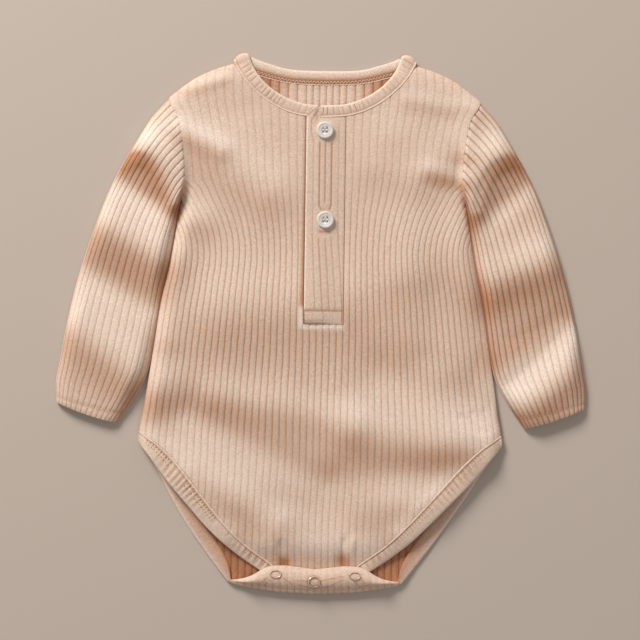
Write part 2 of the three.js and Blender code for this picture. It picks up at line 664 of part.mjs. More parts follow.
function neckBand() {
  const cornerRib = Math.round(ribNumber(CORNER_X));
  const ribs = range(cornerRib - RIBS.placket).map((i) => i + RIBS.placket);
  const front = (points) => points.map((p) => frontBandRing(...bandStation(NECK_FRONT, p)));
  const seamPoint = (r) => meet(r, frontTop, SEARCH.neck);
  const starts = BAND_STARTS.map((x) => ({ x, y: neckFrontY(Math.abs(x)) }));
  const leftFront = front([...starts, ...ribs.map((r) => seamPoint(r))]);
  const rightFront = front(ribs.slice(1).map((r) => seamPoint(-r)));
  const tip = PLACKET_EAR.at(-1);
  const cut = new THREE.Vector3(tip.x - EAR_GAP.x, tip.y + EAR_GAP.y, 0);
  const notchX = PLACKET_LEFT - SEAM_GAP;
  const first = new THREE.Vector3(notchX, neckFrontY(Math.abs(notchX)), 0);
  const turns = NECK_TURN.map((share) => share * Math.PI);
  const backRibs = range(cornerRib).map((i) => cornerRib - 1 - 2 * i);
  const back = backRibs.map((r) => backBandRing(...bandStation(NECK_BACK, meet(r, backTop, SEARCH.neck))));
  return loft([
    ...leftFront,
    ...turns.map((angle) => neckTurnRing(1, angle)),
    neckTurnRing(1, 0),
    ...back,
    neckTurnRing(-1, 0),
    ...turns.reverse().map((angle) => neckTurnRing(-1, angle)),
    ...rightFront.reverse(),
    frontBandRing(first, cut),
  ]);
}

// A sleeve's point: s runs from armhole to cuff, u from its outer edge to its inner one.
function sleevePlan(s, u) {
  const [outerX, outerY, innerX, innerY] = sleevePath(s);
  const y = mix(outerY, innerY, u);
  const x = mix(outerX, innerX, u);
  const armY = mix(SLEEVE[0].outerY, SLEEVE[0].innerY, u);
  const chordX = mix(SLEEVE[0].outerX, bodyHalf(SLEEVE[0].innerY) + ARMHOLE_GAP, u);
  const bow = bodyHalf(armY) + ARMHOLE_GAP - chordX;
  const fade = clamp01(1 - s / ARMHOLE_REACH.share) ** ARMHOLE_REACH.fade;
  const cuff = CUFF.bow * 4 * u * (1 - u) * ramp((s - CUFF.from) / (1 - CUFF.from));
  return { x: x + bow * fade, y: y - cuff, width: Math.hypot(innerX - outerX, innerY - outerY) };
}

const sleeveRows = SLEEVE.map((row) => ({
  ...row,
  innerX: row.innerX || bodyHalf(row.innerY) + SIDE_GAP,
}));
const sleevePath = path(sleeveRows, "outerX", "outerY", "innerX", "innerY");

// Places across a sleeve's top, each with how far the cloth rises there.
function sleeveRibs() {
  const spread = (t) => mix(t, (1 - Math.cos(Math.PI * t)) / 2, SLEEVE_CROWDING);
  const place = (rib) => mix(SLEEVE_EDGE, 1 - SLEEVE_EDGE, spread(rib / RIBS.sleeve));
  const ribs = range(RIBS.sleeve).flatMap((rib) =>
    RIB_MARKS.map((mark) => [place(rib + mark), mark > 0 ? RIB_HEIGHT : 0]),
  );
  return [...ribs, [place(RIBS.sleeve), 0]];
}

function sleeve(side) {
  const put = (s, u, height) => {
    const { x, y, width } = sleevePlan(s, u);
    const inset = Math.min(u, 1 - u) * width;
    return { x: side * x, y, z: height(layerHeight(side * x, y, inset)) };
  };
  const above = (u, height) => ({ u, place: u / 2, height });
  const below = (u, height) => ({ u, place: 1 - u / 2, height });
  const top = sleeveRibs().map(([u, rise]) => above(u, (z) => z + WALL + rise));
  const rim = (WALL + LAYER_BASE) / 2;
  const edges = [1 - SLEEVE_EDGE, ...HOLLOW.floor.slice(1, -1), SLEEVE_EDGE];
  const outerRing = [
    above(0, () => rim),
    ...top,
    above(1, () => rim),
    ...edges.map((u) => below(u, () => 0)),
  ];
  const innerRing = [
    ...HOLLOW.ceiling.map((u) => above(u, (z) => z)),
    ...HOLLOW.floor.map((u) => below(u, () => WALL)),
  ];
  const stations = range(SLEEVE.length).map((i) => i / (SLEEVE.length - 1));
  const ring = (points, s) => points.map(({ u, place, height }) => ({ ...put(s, u, height), place }));
  return tube(
    stations.map((s) => ring(outerRing, s)),
    stations.map((s) => ring(innerRing, s)),
  );
}

// How far the upper placket strip is lifted by the under strip that it overlaps.
function placketLift(x, y) {
  const rest = LAYER_BASE + PLACKET_CLEAR;
  const across = 1 - ramp((x - PLACKET.underRight) / (PLACKET.right - PLACKET.underRight));
  return rest * across * ramp((y - PLACKET.foot) / (PLACKET.box - PLACKET.foot));
}

function placketUpper() {
  const earEnd = PLACKET_EAR.at(-1).x;
  const middle = [2, 5, PLACKET.underRight, (PLACKET.underRight + PLACKET.right) / 2, PLACKET.right];
  const columns = [PLACKET_LEFT, ...PLACKET_EAR.slice(1).map((row) => row.x), ...middle];
  const box = [0, 1 / 3, 2 / 3, 1].map((share) => mix(PLACKET.foot, PLACKET.box, share));
  const heights = [...box, ...PLACKET_ROWS, PLACKET_TOP];
  const at = (x, k) => ({ x, y: k < heights.length ? heights[k] : earY(x) });
  const lift = (p, height) => ({ ...p, z: bodyHeight(p.x, p.y) + placketLift(p.x, p.y) + height });
  return panel({
    columns,
    rows: heights.length,
    keep: (i, k) => k < heights.length - 1 || columns[i] < earEnd,
    marks: () => PLAIN_MARKS,
    outside: (x, k) => lift(at(x, k), PLACKET_WALL),
    inside: (x, k) => lift(at(x, k), 0),
  });
}

function placketUnder() {
  const columns = [PLACKET_LEFT, ...PLACKET_UNDER.columns, PLACKET.underRight];
  const heights = [PLACKET.box + PLACKET_UNDER.overBox, ...PLACKET_ROWS, PLACKET_TOP];
  const lift = (x, k, height) => ({ x, y: heights[k], z: bodyHeight(x, heights[k]) + height });
  return panel({
    columns,
    rows: heights.length - 1,
    keep: () => true,
    marks: () => PLAIN_MARKS,
    outside: (x, k) => lift(x, k, WALL),
    inside: (x, k) => lift(x, k, 0),
  });
}

function toManifold(geometry) {
  const plain = new THREE.BufferGeometry();
  plain.setAttribute("position", geometry.getAttribute("position"));
  plain.setIndex(geometry.getIndex());
  const merged = mergeVertices(plain, 1e-4);
  const mesh = new wasm.Mesh({
    numProp: 3,
    vertProperties: Float32Array.from(merged.getAttribute("position").array),
    triVerts: Uint32Array.from(merged.getIndex().array),
  });
  return new wasm.Manifold(mesh);
}

// A disc with a raised rim and a dished middle.
function buttonDisc() {
  const { radius, height, bevel, rim, dish, sides } = BUTTON;
  const profile = [
    [0, 0],
    [radius - bevel, 0],
    [radius, bevel],
    [radius, height - bevel],
    [radius - rim, height],
    [dish + rim, height],
    [dish, height - rim],
    [0, height - rim],
  ].map(([r, z]) => new THREE.Vector2(r, z));
  return new THREE.LatheGeometry(profile, sides).rotateX(Math.PI / 2);
}

// Height of the placket under the highest point of a button's rim.
function buttonSeat({ x, y }) {
  const reach = BUTTON.radius - BUTTON.bevel;
  const heights = range(BUTTON.sides).map((i) => {
    const angle = (i / BUTTON.sides) * 2 * Math.PI;
    const [px, py] = [x + reach * Math.cos(angle), y + reach * Math.sin(angle)];
    return bodyHeight(px, py) + placketLift(px, py) + PLACKET_WALL;
  });
  return Math.max(...heights) + SEAM_GAP;
}

function button(centre) {
  const { height, hole, holeRing, holeSides } = BUTTON;
  const drill = new THREE.CylinderGeometry(hole, hole, 3 * height, holeSides).rotateX(Math.PI / 2);
  let solid = toManifold(buttonDisc());
  for (const quarter of range(4)) {
    const angle = (quarter + 0.5) * (Math.PI / 2);
    const [x, y] = [holeRing * Math.cos(angle), holeRing * Math.sin(angle)];
    solid = solid.subtract(toManifold(drill.clone().translate(x, y, 0)));
  }
  const mesh = solid.getMesh();
  const geometry = solidGeometry(Array.from(mesh.vertProperties), Array.from(mesh.triVerts));
  return geometry.translate(centre.x, centre.y, buttonSeat(centre));
}

// Height of the flap's outer side over a point of the flap.
function flapTopHeight(x, y) {
  const { radius, centreY, endY, arch } = flapFold(x);
  return 2 * radius + arch * flapArch(clamp01((y - centreY) / (endY - centreY)));
}

// A snap's ring lies on the flap and takes its slope.
function snapRing({ x, y, squash }) {
  const rings = range(SNAP.parts).map((i) => {
    const angle = (i / SNAP.parts) * 2 * Math.PI;
    const put = (radius, height) => {
      const px = x + radius * Math.cos(angle);
      const py = y + radius * squash * Math.sin(angle);
      return { x: px, y: py, z: flapTopHeight(px, py) + FLAP.rib + SNAP.lift + height };
    };
    const inner = SNAP.radius - SNAP.width;
    return [put(inner, 0), put(SNAP.radius, 0), put(SNAP.radius, SNAP.height), put(inner, SNAP.height)];
  });
  return closedLoft(rings);
}

// Joins closed rings of points, all of one length, into a ring-shaped solid.
function closedLoft(rings) {
  const count = rings[0].length;
  const positions = rings.flat().flatMap((p) => [p.x + lean(p.y), p.y, p.z]);
  const index = [];
  for (const s of range(rings.length)) {
    const [here, there] = [s * count, ((s + 1) % rings.length) * count];
    for (const i of range(count)) {
      const next = (i + 1) % count;
      index.push(here + i, here + next, there + next, here + i, there + next, there + i);
    }
  }
  return solidGeometry(positions, index);
}

const CLOTH = new THREE.MeshStandardMaterial({ color: 0xdeb89b, roughness: 0.95 });
const BUTTON_WHITE = new THREE.MeshStandardMaterial({ color: 0xe6e2de, roughness: 0.4 });
const METAL = new THREE.MeshStandardMaterial({ color: 0xb9aea6, roughness: 0.35, metalness: 1 });

function pieces() {
  return [
    ["front_body", frontBody(), CLOTH],
    ["back_body", backBody(), CLOTH],
    ["sleeve_left", sleeve(1), CLOTH],
    ["sleeve_right", sleeve(-1), CLOTH],
    ["neck_band", neckBand(), CLOTH],
    ["leg_band_front_left", legBandFront(1), CLOTH],
    ["leg_band_front_right", legBandFront(-1), CLOTH],
    ["leg_band_back_left", legBandBack(1), CLOTH],
    ["leg_band_back_right", legBandBack(-1), CLOTH],
    ["placket_upper", placketUpper(), CLOTH],
    ["placket_under", placketUnder(), CLOTH],
    ["button_upper", button(BUTTONS[0]), BUTTON_WHITE],
    ["button_lower", button(BUTTONS[1]), BUTTON_WHITE],
    ...SNAPS.map((snap) => [snap.name, snapRing(snap), METAL]),
  ];
}

// Puts the origin under the middle of the whole garment.
function centred(list) {
  const box = new THREE.Box3();
  for (const [, geometry] of list) {
    geometry.computeBoundingBox();
    box.union(geometry.boundingBox);
  }
  const middle = box.getCenter(new THREE.Vector3());
  for (const [, geometry] of list) geometry.translate(-middle.x, -middle.y, -box.min.z);
  return list;
}

const garment = new THREE.Group();
garment.name = "baby_bodysuit";
for (const [name, geometry, material] of centred(pieces())) {
  const mesh = new THREE.Mesh(geometry, material);
  mesh.name = name;
  garment.add(mesh);
}

export default garment;
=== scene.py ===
"""Baby bodysuit in peach rib knit, laid flat on a pale floor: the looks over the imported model."""

import math

import bmesh
import bpy
import numpy as np
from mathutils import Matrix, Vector


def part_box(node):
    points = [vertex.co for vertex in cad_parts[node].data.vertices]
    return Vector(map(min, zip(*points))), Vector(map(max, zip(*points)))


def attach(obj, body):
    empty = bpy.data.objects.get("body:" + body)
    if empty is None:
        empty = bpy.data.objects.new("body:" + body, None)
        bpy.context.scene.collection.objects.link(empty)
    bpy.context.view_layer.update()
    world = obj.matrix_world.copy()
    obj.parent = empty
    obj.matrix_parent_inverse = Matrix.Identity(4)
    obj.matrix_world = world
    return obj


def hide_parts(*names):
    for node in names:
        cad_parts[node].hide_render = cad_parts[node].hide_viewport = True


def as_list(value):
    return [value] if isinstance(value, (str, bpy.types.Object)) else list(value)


MM = 0.001
BODY = "root"

# Sizes of the cloth, in millimetres. A negative gap is an overlap.
WALL = 1.2
RIB = 0.45
BAND = 1.8
SEAM_GAP = 0.3
SEAM_LAP = 0.1
ARMHOLE_GAP = -0.35
SIDE_GAP = -0.3
LAYER_BASE = WALL + SEAM_GAP
BAND_BASE = BAND + SEAM_GAP
PUFF = 2.5
LEAST_PUFF = 0.6
EDGE_ROUND = 11.0
SHOULDER_SLOPE = 0.85
PRESSED = {"full": -171.0, "none": -150.0, "left": 0.1}
LEAN = {"shift": -2.4, "from": -90.0, "to": -150.0}
TO_ROW = np.array([0.0, 0.756, 0.0])  # from the tables' frame to the part's

# Ribs on half the body at the hip, at the shoulder, on the flap and on the placket, and on a sleeve.
RIBS_SIDE, RIBS_ARMHOLE, RIBS_FLAP, RIBS_PLACKET, RIBS_SLEEVE = 26, 18, 12, 3, 14
RIB_PITCH = 4.5

# Height, half width of the body and number of ribs there.
BODY_SIDE = [
    (182, 107.4, 18), (156.5, 109.3, 18), (142, 102.2, 18), (125, 98.8, 18), (108, 97.2, 18),
    (99, 96.9, 18), (91.5, 98.3, 19.6), (84, 100.1, 21), (71, 102.3, 23.2), (61, 103.8, 24.8),
    (51, 105.5, 26), (37, 108, 26), (16, 112.6, 26), (-12, 116.8, 26), (-40, 121, 26),
    (-61, 124.3, 26), (-77.5, 127, 26), (-90, 127.6, 26), (-190, 129, 26),
]
UNDERARM = (100.1, 84.0)
ARMHOLE_WAIST, ARMHOLE_FOOT = 99.0, 51.0
SHOULDER = [(63.8, 181.2), (77, 177), (91, 170.3), (101, 163.3), (109.3, 156.5)]

# Seam x and y, then edge x and y, of each binding.
NECK_FRONT = [
    (0, 143.6, 0, 152.5), (14.7, 144.7, 11.8, 153), (24, 146.8, 20.1, 155), (33.5, 150.8, 28.6, 158.5),
    (43.3, 157, 37.5, 164.1), (52.3, 165, 45.3, 171.6), (59, 173.1, 50.3, 179.2), (63.8, 181.2, 53.2, 187),
]
NECK_BACK = [
    (63.8, 181.2, 53.2, 187), (57.5, 176.8, 48.7, 184.9), (51.5, 174.4, 43.4, 182.9),
    (42.4, 171.8, 36, 180.7), (33, 169.4, 28, 178.5), (20, 167.5, 17.5, 177.3), (0, 166.8, 0, 177),
]
LEG_FRONT = [
    (127, -77.5, 127.6, -84.8), (122.1, -80.6, 124.8, -88.6), (113.5, -86, 119.6, -94.6),
    (105.4, -92.9, 113.6, -102.4), (97.4, -101.3, 106.4, -111.3), (81.9, -119.8, 91.3, -127.9),
    (64.4, -140.2, 72.5, -147.8), (47.7, -156.7, 53.6, -164), (39.5, -162.8, 44.5, -170.3),
    (31, -169, 37, -175.6), (24.5, -176, 33, -180.2), (21, -184, 30.6, -184.4),
]
LEG_BACK = [
    (127, -77.5, 127.6, -84.8), (119.5, -83, 124.6, -88.8), (107, -95.6, 115.7, -101.6),
    (95.2, -116.4, 104.1, -121.8), (78.5, -142.1, 87.2, -148), (70.2, -153.6, 78.7, -159.8),
    (62.9, -165.5, 70.2, -171), (59.6, -174.5, 64.5, -178), (58.4, -181, 61, -182),
]
LEG_BACK_END = (52, -183.2, 53, -185.2)  # the binding goes on under the flap

# Outer x and y, then inner x and y, of a sleeve from armhole to cuff. None is the body's side.
SLEEVE = [
    (109.8, 156.2, None, 84), (121.5, 143, None, 79), (131.5, 126.8, None, 73), (141, 110.5, None, 65),
    (150, 92, None, 54), (158.5, 70, None, 39), (166.3, 47, None, 21), (173.3, 22.5, None, 2),
    (179.2, -4, None, -17), (183.4, -28, 121.6, -36), (186.2, -45.5, 131, -54.3), (185.7, -57.8, 142.8, -72),
]
CUFF_BOW, CUFF_FROM = 1.4, 0.85
ARMHOLE_REACH, ARMHOLE_FADE = 0.4, 1.6
SLEEVE_EDGE, SLEEVE_CROWDING = 0.018, 0.4

PLACKET = {"centre": 1.15, "half": 14.0, "left": -12.55, "right": 14.85, "top": 143.3, "foot": -0.6,
           "box": 9.0, "under": 8.6}
NOTCH_Y = PLACKET["foot"] - SEAM_GAP
SHIFT_FULL, SHIFT_NONE = -10.0, -80.0
EAR = [(-12.55, 144.1), (-9.2, 147.2), (-6, 150), (-2.9, 151.9)]
BUTTONS = {"button_upper": (0.5, 134.7), "button_lower": (1.6, 72.1)}

FLAP = {"half": 59.0, "tight": 44.0, "radius": 2.45, "end_radius": 1.6, "shortest": 1.0, "arch": 3.0,
        "skew": 0.85, "rib": 0.2, "ribs_at": -186.0}
FLAP_FOOT = [(0, -190), (25, -188.9), (40, -186.9), (52, -184.9), (59, -183.4)]
FLAP_TOP = [(0, -172.6), (12, -171.2), (22, -170.2), (30, -170.6), (36, -172.6), (43, -176.9),
            (50, -179.6), (59, -181.4)]
# Middle x and y of each snap, and how tall its ring is for its width.
SNAPS = {
    "snap_right": (-27.5, -175.6, 0.6),
    "snap_middle": (-0.5, -180.8, 0.95),
    "snap_left": (28, -176.2, 0.6),
}
RING_LIFT = {"snap_right": 0.6, "snap_middle": 1.0, "snap_left": 0.6}

# Straight folds: x1, y1, x2, y2, width and height.
FOLDS = [
    (-71, 170, -96, 163, 5, 0.5), (103, 150, 100, 122, 9, 1.3), (-50, 150, -86, 142, 10, -0.2),
    (60, 157, 88, 152, 7, 0.6), (-97, 128, -40, 92, 18, 1.7), (92, 124, 68, 102, 16, 1.0),
    (-143, 98, -106, 74, 9, -1.6), (142, 98, 113, 74, 9, -1.4), (-155, 67, -113, 44, 17, 3.6),
    (163, 47, 120, 28, 18, 3.9), (-167, 36, -120, 10, 12, -1.6), (170, 0, 124, -34, 15, -2.5),
    (-173, -6, -119, -47, 20, 3.9), (-118, -92, -28, -140, 16, 2.7), (-92, -64, 4, -112, 13, -1.2),
    (124, -91, 24, -77, 19, 2.3), (-72, -52, 24, -70, 14, 1.2), (100, -100, 10, -110, 13, -0.5),
    (82, -124, 34, -130, 15, 1.6), (88, -78, 60, 26, 22, 2.0), (108, 48, 64, 52, 30, 1.9),
    (-92, -30, -58, 30, 24, 0.5), (-98, -112, -62, -150, 9, 1.6), (98, -112, 62, -148, 9, 1.8),
    (-72, 6, 8, 13, 28, 2.4), (-102, 134, -72, 120, 8, 1.2), (74, 107, 99, 101, 7, 0.9),
    (-34, -131, 36, -130, 15, -1.1), (-36, -164, 32, -165, 12, 1.5), (44, 128, 40, 112, 18, 1.1),
    (-102, 66, -108, -10, 15, 1.6), (118, -57, 44, -34, 17, -1.3), (119, 20, 121, -40, 24, -1.4),
    (-100, 73, -86, 70, 13, 1.1), (87, 92, 76, -20, 16, -1.4),
]

# Bent folds of the sleeves: x1, y1, x2, y2, x3, y3, width, height and skew.
# The left side of a skewed one is gentler.
BENT_FOLDS = [
    (-137, 120, -116, 124, -102, 84, 13.5, 5.2, 0.2), (104.5, 80, 107, 117, 134, 122, 13.5, 4.8, 0.2),
    (125, -58, 158, -59, 184, -17, 15, 3.8, 0.0),
]

# Smaller creases, each a bent line: x1, y1, x2, y2, x3, y3, width and height.
CREASES = [
    (-134, 116, -117, 118, -104, 84, 3.0, -0.7), (107, 82, 110, 112, 130, 117, 3.0, -0.7),
    (-22.4, -170, -23.2, -163, -24.5, -155, 2.0, -1.0), (19.4, -170, 19.6, -162, 20.5, -152, 2.2, -1.1),
    (-27.5, -169, -28, -163, -30, -156, 2.2, 0.7), (24.5, -168, 25, -161, 27, -152, 2.4, 0.8),
    (-96, -108, -84, -122, -70, -138, 3.5, -0.7), (96, -106, 84, -120, 70, -136, 3.5, -0.7),
    (99, -64, 106, -69, 111, -75, 2.4, -0.7), (107, -62, 113, -68, 117, -74, 2.4, -0.7),
    (114, -61, 119, -66, 122, -72, 2.4, -0.6), (34, 143.4, 35.6, 141, 37, 138.4, 0.9, 0.5),
]

# Pits where the front gathers above the flap: x, y, half width, half height and depth.
PITS = [(-21.8, -168.6, 4.2, 4.6, 0.8), (19.6, -166.4, 4.4, 5.2, 0.9)]


def curve(rows, x_column, y_column):
    """Monotone cubic through a table's rows, from one column to another."""
    ordered = sorted(rows, key=lambda row: row[x_column])
    x = np.array([row[x_column] for row in ordered], float)
    y = np.array([row[y_column] for row in ordered], float)
    slope = np.diff(y) / np.diff(x)
    product = slope[:-1] * slope[1:]
    total = slope[:-1] + slope[1:]
    inner = np.where(product > 0, 2 * product / np.where(total == 0, 1, total), 0)
    tangent = np.concatenate([slope[:1], inner, slope[-1:]])

    def value(at):
        at = np.clip(np.asarray(at, float), x[0], x[-1])
        i = np.clip(np.searchsorted(x, at, side="right") - 1, 0, len(x) - 2)
        step = x[i + 1] - x[i]
        t = (at - x[i]) / step
        t2, t3 = t * t, t * t * t
        return (
            (2 * t3 - 3 * t2 + 1) * y[i]
            + (t3 - 2 * t2 + t) * step * tangent[i]
            + (3 * t2 - 2 * t3) * y[i + 1]
            + (t3 - t2) * step * tangent[i + 1]
        )

    return value


def path(rows, *columns):
    """A table's rows as one smooth path: share 0 is the first row and 1 the last."""
    last = len(rows) - 1
    curves = [curve([(i / last, row[c]) for i, row in enumerate(rows)], 0, 1) for c in columns]
    return lambda share: [value(share) for value in curves]


def ramp(value):
    t = np.clip(value, 0, 1)
    return t * t * (3 - 2 * t)


def mix(a, b, share):
    return a + (b - a) * share


def fade(value, start, end):
    """A smooth change from 0 at the start to 1 at the end."""
    return ramp((value - start) / (end - start))


def bell(distance, width):
    """1 on a line and smoothly less beside it."""
    return np.exp(-((distance / width) ** 2))


def lengths(points):
    """How far along a line of points each of them is."""
    return np.concatenate([[0], np.cumsum(np.linalg.norm(np.diff(points, axis=0), axis=1))])


body_half = curve(BODY_SIDE, 0, 1)
body_ribs = curve(BODY_SIDE, 0, 2)
shoulder_y = curve(SHOULDER, 0, 1)
neck_front_y = curve(NECK_FRONT, 0, 1)
neck_back_y = curve(NECK_BACK, 0, 1)
leg_front_y = curve(LEG_FRONT, 0, 1)
leg_back_y = curve(LEG_BACK, 0, 1)
flap_foot_y = curve(FLAP_FOOT, 0, 1)
flap_top_y = curve(FLAP_TOP, 0, 1)
ear_y = curve(EAR, 0, 1)
armhole_y = curve([row for row in BODY_SIDE if ARMHOLE_FOOT <= row[0] <= ARMHOLE_WAIST], 2, 0)
CORNER_X = SHOULDER[0][0]


def front_top(x):
    return np.where(x < CORNER_X, neck_front_y(x), shoulder_y(x))


def back_top(x):
    return np.where(x < CORNER_X, neck_back_y(x), shoulder_y(x))


def lean(y):
    return LEAN["shift"] * fade(y, LEAN["from"], LEAN["to"])


def away_from(x, y, x1, y1, x2, y2):
    """Distance from a stretch of line."""
    dx, dy = x2 - x1, y2 - y1
    along = np.clip(((x - x1) * dx + (y - y1) * dy) / (dx * dx + dy * dy), 0, 1)
    return np.hypot(x - x1 - along * dx, y - y1 - along * dy)


def bent_points(x1, y1, x2, y2, x3, y3, parts=8):
    t = np.linspace(0, 1, parts + 1)
    a, b, c = (1 - t) ** 2, 2 * t * (1 - t), t * t
    return a * x1 + b * x2 + c * x3, a * y1 + b * y2 + c * y3


FAR = 1000.0
ON_LINE = 0.001


def bend(x, y, ends, width, skew=0.0):
    """A bent line's height from 0 to 1, with a skewed section."""
    px, py = bent_points(*ends)
    away, left = np.full_like(x, FAR), np.zeros_like(x)
    for i in range(len(px) - 1):
        dx, dy = px[i + 1] - px[i], py[i + 1] - py[i]
        here = away_from(x, y, px[i], py[i], px[i + 1], py[i + 1])
        side = ((y - py[i]) * dx - (x - px[i]) * dy) / math.hypot(dx, dy)
        left = np.where(here < away, side, left)
        away = np.minimum(away, here)
    wide = width * (1 + skew * left / (away + ON_LINE))
    return bell(away, wide)


BENT_FADE = {"inside": 4.0, "over": 6.0}  # the bent folds set in beside the body's edge


def folds(x, y):
    total = np.zeros_like(x)
    for *ends, width, height in FOLDS:
        total += height * bell(away_from(x, y, *ends), width)
    on_sleeve = ramp((np.abs(x) - body_half(y) + BENT_FADE["inside"]) / BENT_FADE["over"])
    for *ends, width, height, skew in BENT_FOLDS:
        total += height * on_sleeve * bend(x, y, ends, width, skew)
    return total


def creases(x, y):
    total = np.zeros_like(x)
    for *ends, width, height in CREASES:
        total += height * bend(x, y, ends, width)
    return total


# How steep a slope gets full painted shade or light, and how strong that is.
SLOPE_SHADE = {"full": 0.32, "tone": 0.95}


def painted_slope_shade(x, y):
    """Painted shade where a fold turns down, away from the light, and painted light where it turns up towards
    it.
    """
    slope = (folds(x, y + 1) - folds(x, y - 1)) / 2
    return SLOPE_SHADE["tone"] * np.clip(slope / SLOPE_SHADE["full"], -1, 1)


def body_inset(x, y):
    """Distance on the body from the nearest folded edge."""
    across = np.abs(x)
    to_shoulder = (shoulder_y(across) - y) * SHOULDER_SLOPE
    below = body_half(y) - across
    above = np.hypot(np.maximum(0, UNDERARM[0] - across), y - UNDERARM[1])
    return np.maximum(0, np.minimum(to_shoulder, np.where(y < UNDERARM[1], below, above)))


def layer_height(x, y, inset):
    """Underside of the upper layer."""
    free = fade(y, PRESSED["full"], PRESSED["none"])
    puff = np.maximum(LEAST_PUFF, PUFF + folds(x, y) + creases(x, y))
    roundness = np.sin(math.pi / 2 * np.clip(inset / EDGE_ROUND, 0, 1))
    return LAYER_BASE + roundness * mix(PRESSED["left"], puff, free)


def body_height(x, y):
    x, y = np.asarray(x, float), np.asarray(y, float)
    return layer_height(x, y, body_inset(x, y))


def rib_x(r, y):
    """Where rib line r of the body is at a height."""
    count, side = np.abs(r), np.sign(r)
    shift = PLACKET["centre"] * fade(y, SHIFT_NONE, SHIFT_FULL)
    inner = shift + r / RIBS_PLACKET * PLACKET["half"]
    share = (count - RIBS_PLACKET) / (body_ribs(y) - RIBS_PLACKET)
    outer = side * mix(PLACKET["half"] + side * shift, body_half(y), share)
    return np.where(count <= RIBS_PLACKET, inner, outer)


RIB_SOFT = {"reach": 14.0, "steps": 7, "ribs": 4.0}


def soft_rib_x(r, y):
    """Rib lines with smooth bends, except at the sides."""
    reach = np.linspace(-RIB_SOFT["reach"], RIB_SOFT["reach"], RIB_SOFT["steps"])
    smooth = sum(rib_x(r, y + step) for step in reach) / RIB_SOFT["steps"]
    return mix(rib_x(r, y), smooth, ramp((body_ribs(y) - np.abs(r)) / RIB_SOFT["ribs"]))


RIB_STRENGTH = {"belly": 0.74, "chest": 0.36, "crotch_loss": 0.24}


def rib_strength(y):
    """The ribs are pulled flat on the chest and shoulders, and softer near the crotch."""
    upper = mix(RIB_STRENGTH["belly"], RIB_STRENGTH["chest"], fade(y, 40, 120))
    return upper - RIB_STRENGTH["crotch_loss"] * fade(-y, 50, 100)


MEETING = {"rounds": 16, "share": 0.6}


def meet(r, outline, start):
    """Height at which a rib line meets an outline."""
    y = np.full_like(r, start)
    for _ in range(MEETING["rounds"]):
        y = mix(y, outline(np.abs(rib_x(r, y))), MEETING["share"])
    return y


class Shape:
    """Points and faces of one piece. Each point has a place on the cloth and a tone, mostly painted shade and
    light: 1 is the painted shade of a groove.
    """

    def __init__(self, name):
        self.name = name
        self.points, self.cloth, self.tone, self.faces = [], [], [], []
        self.count = 0

    def add(self, xyz, cloth=(0.0, 0.0), tone=0.0):
        """Adds an array of points and returns their numbers in the same shape."""
        shape = xyz.shape[:-1]
        self.points.append(xyz.reshape(-1, 3))
        self.cloth.append(np.broadcast_to(cloth, (*shape, 2)).reshape(-1, 2))
        self.tone.append(np.broadcast_to(tone, shape).reshape(-1))
        numbers = np.arange(self.count, self.count + int(np.prod(shape))).reshape(shape)
        self.count += numbers.size
        return numbers

    def quads(self, numbers, keep=None):
        """Faces between the neighbours of a grid of numbers."""
        cells = np.stack([numbers[:-1, :-1], numbers[:-1, 1:], numbers[1:, 1:], numbers[1:, :-1]], -1)
        chosen = cells.reshape(-1, 4) if keep is None else cells[keep]
        self.faces.extend(chosen.tolist())

    def build(self, sharp=60):
        points = np.concatenate(self.points)
        points = points + np.stack([lean(points[:, 1]), 0 * points[:, 1], 0 * points[:, 1]], 1)
        used = np.unique(np.concatenate([np.array(face) for face in self.faces]))
        renumber = np.zeros(len(points), int)
        renumber[used] = np.arange(len(used))
        mesh = bpy.data.meshes.new(self.name)
        faces = [renumber[face].tolist() for face in self.faces]
        mesh.from_pydata(((points[used] + TO_ROW) * MM).tolist(), [], faces)
        mesh.polygons.foreach_set("use_smooth", np.ones(len(faces), bool))
        tone = mesh.attributes.new("tone", "FLOAT", "POINT")
        tone.data.foreach_set("value", np.concatenate(self.tone)[used])
        cloth = mesh.attributes.new("cloth", "FLOAT_VECTOR", "POINT")
        places = np.concatenate(self.cloth)[used]
        cloth.data.foreach_set("vector", np.pad(places, ((0, 0), (0, 1))).reshape(-1))
        face_out(mesh)
        mesh.set_sharp_from_angle(angle=math.radians(sharp))
        return placed(self.name, mesh)


def placed(name, data):
    """A new object in the scene."""
    made = bpy.data.objects.new(name, data)
    bpy.context.scene.collection.objects.link(made)
    return made


def face_out(mesh):
    work = bmesh.new()
    work.from_mesh(mesh)
    bmesh.ops.recalc_face_normals(work, faces=work.faces)
    work.to_mesh(mesh)
    work.free()


# Places in a rib's pitch and how high the cloth stands there, from 0 in the groove to 1.
FINE_RIB = [
    (0, 0), (0.05, 0.25), (0.12, 0.7), (0.24, 0.93), (0.5, 1), (0.76, 0.93), (0.88, 0.7), (0.95, 0.25),
]
COARSE_RIB = [(0, 0), (0.15, 0.8), (0.5, 1), (0.85, 0.8)]
NO_RIB = [(0, 0)]


def fine_columns(columns, profile):
    """Rib places between the columns, with the height of the rib at each."""
    marks = np.array([t for t, _ in profile])
    rise = np.array([h for _, h in profile])
    steps = np.diff(columns)
    places = (np.array(columns[:-1])[:, None] + marks[None, :] * steps[:, None]).reshape(-1)
    return np.append(places, columns[-1]), np.append(np.tile(rise, len(steps)), rise[0])


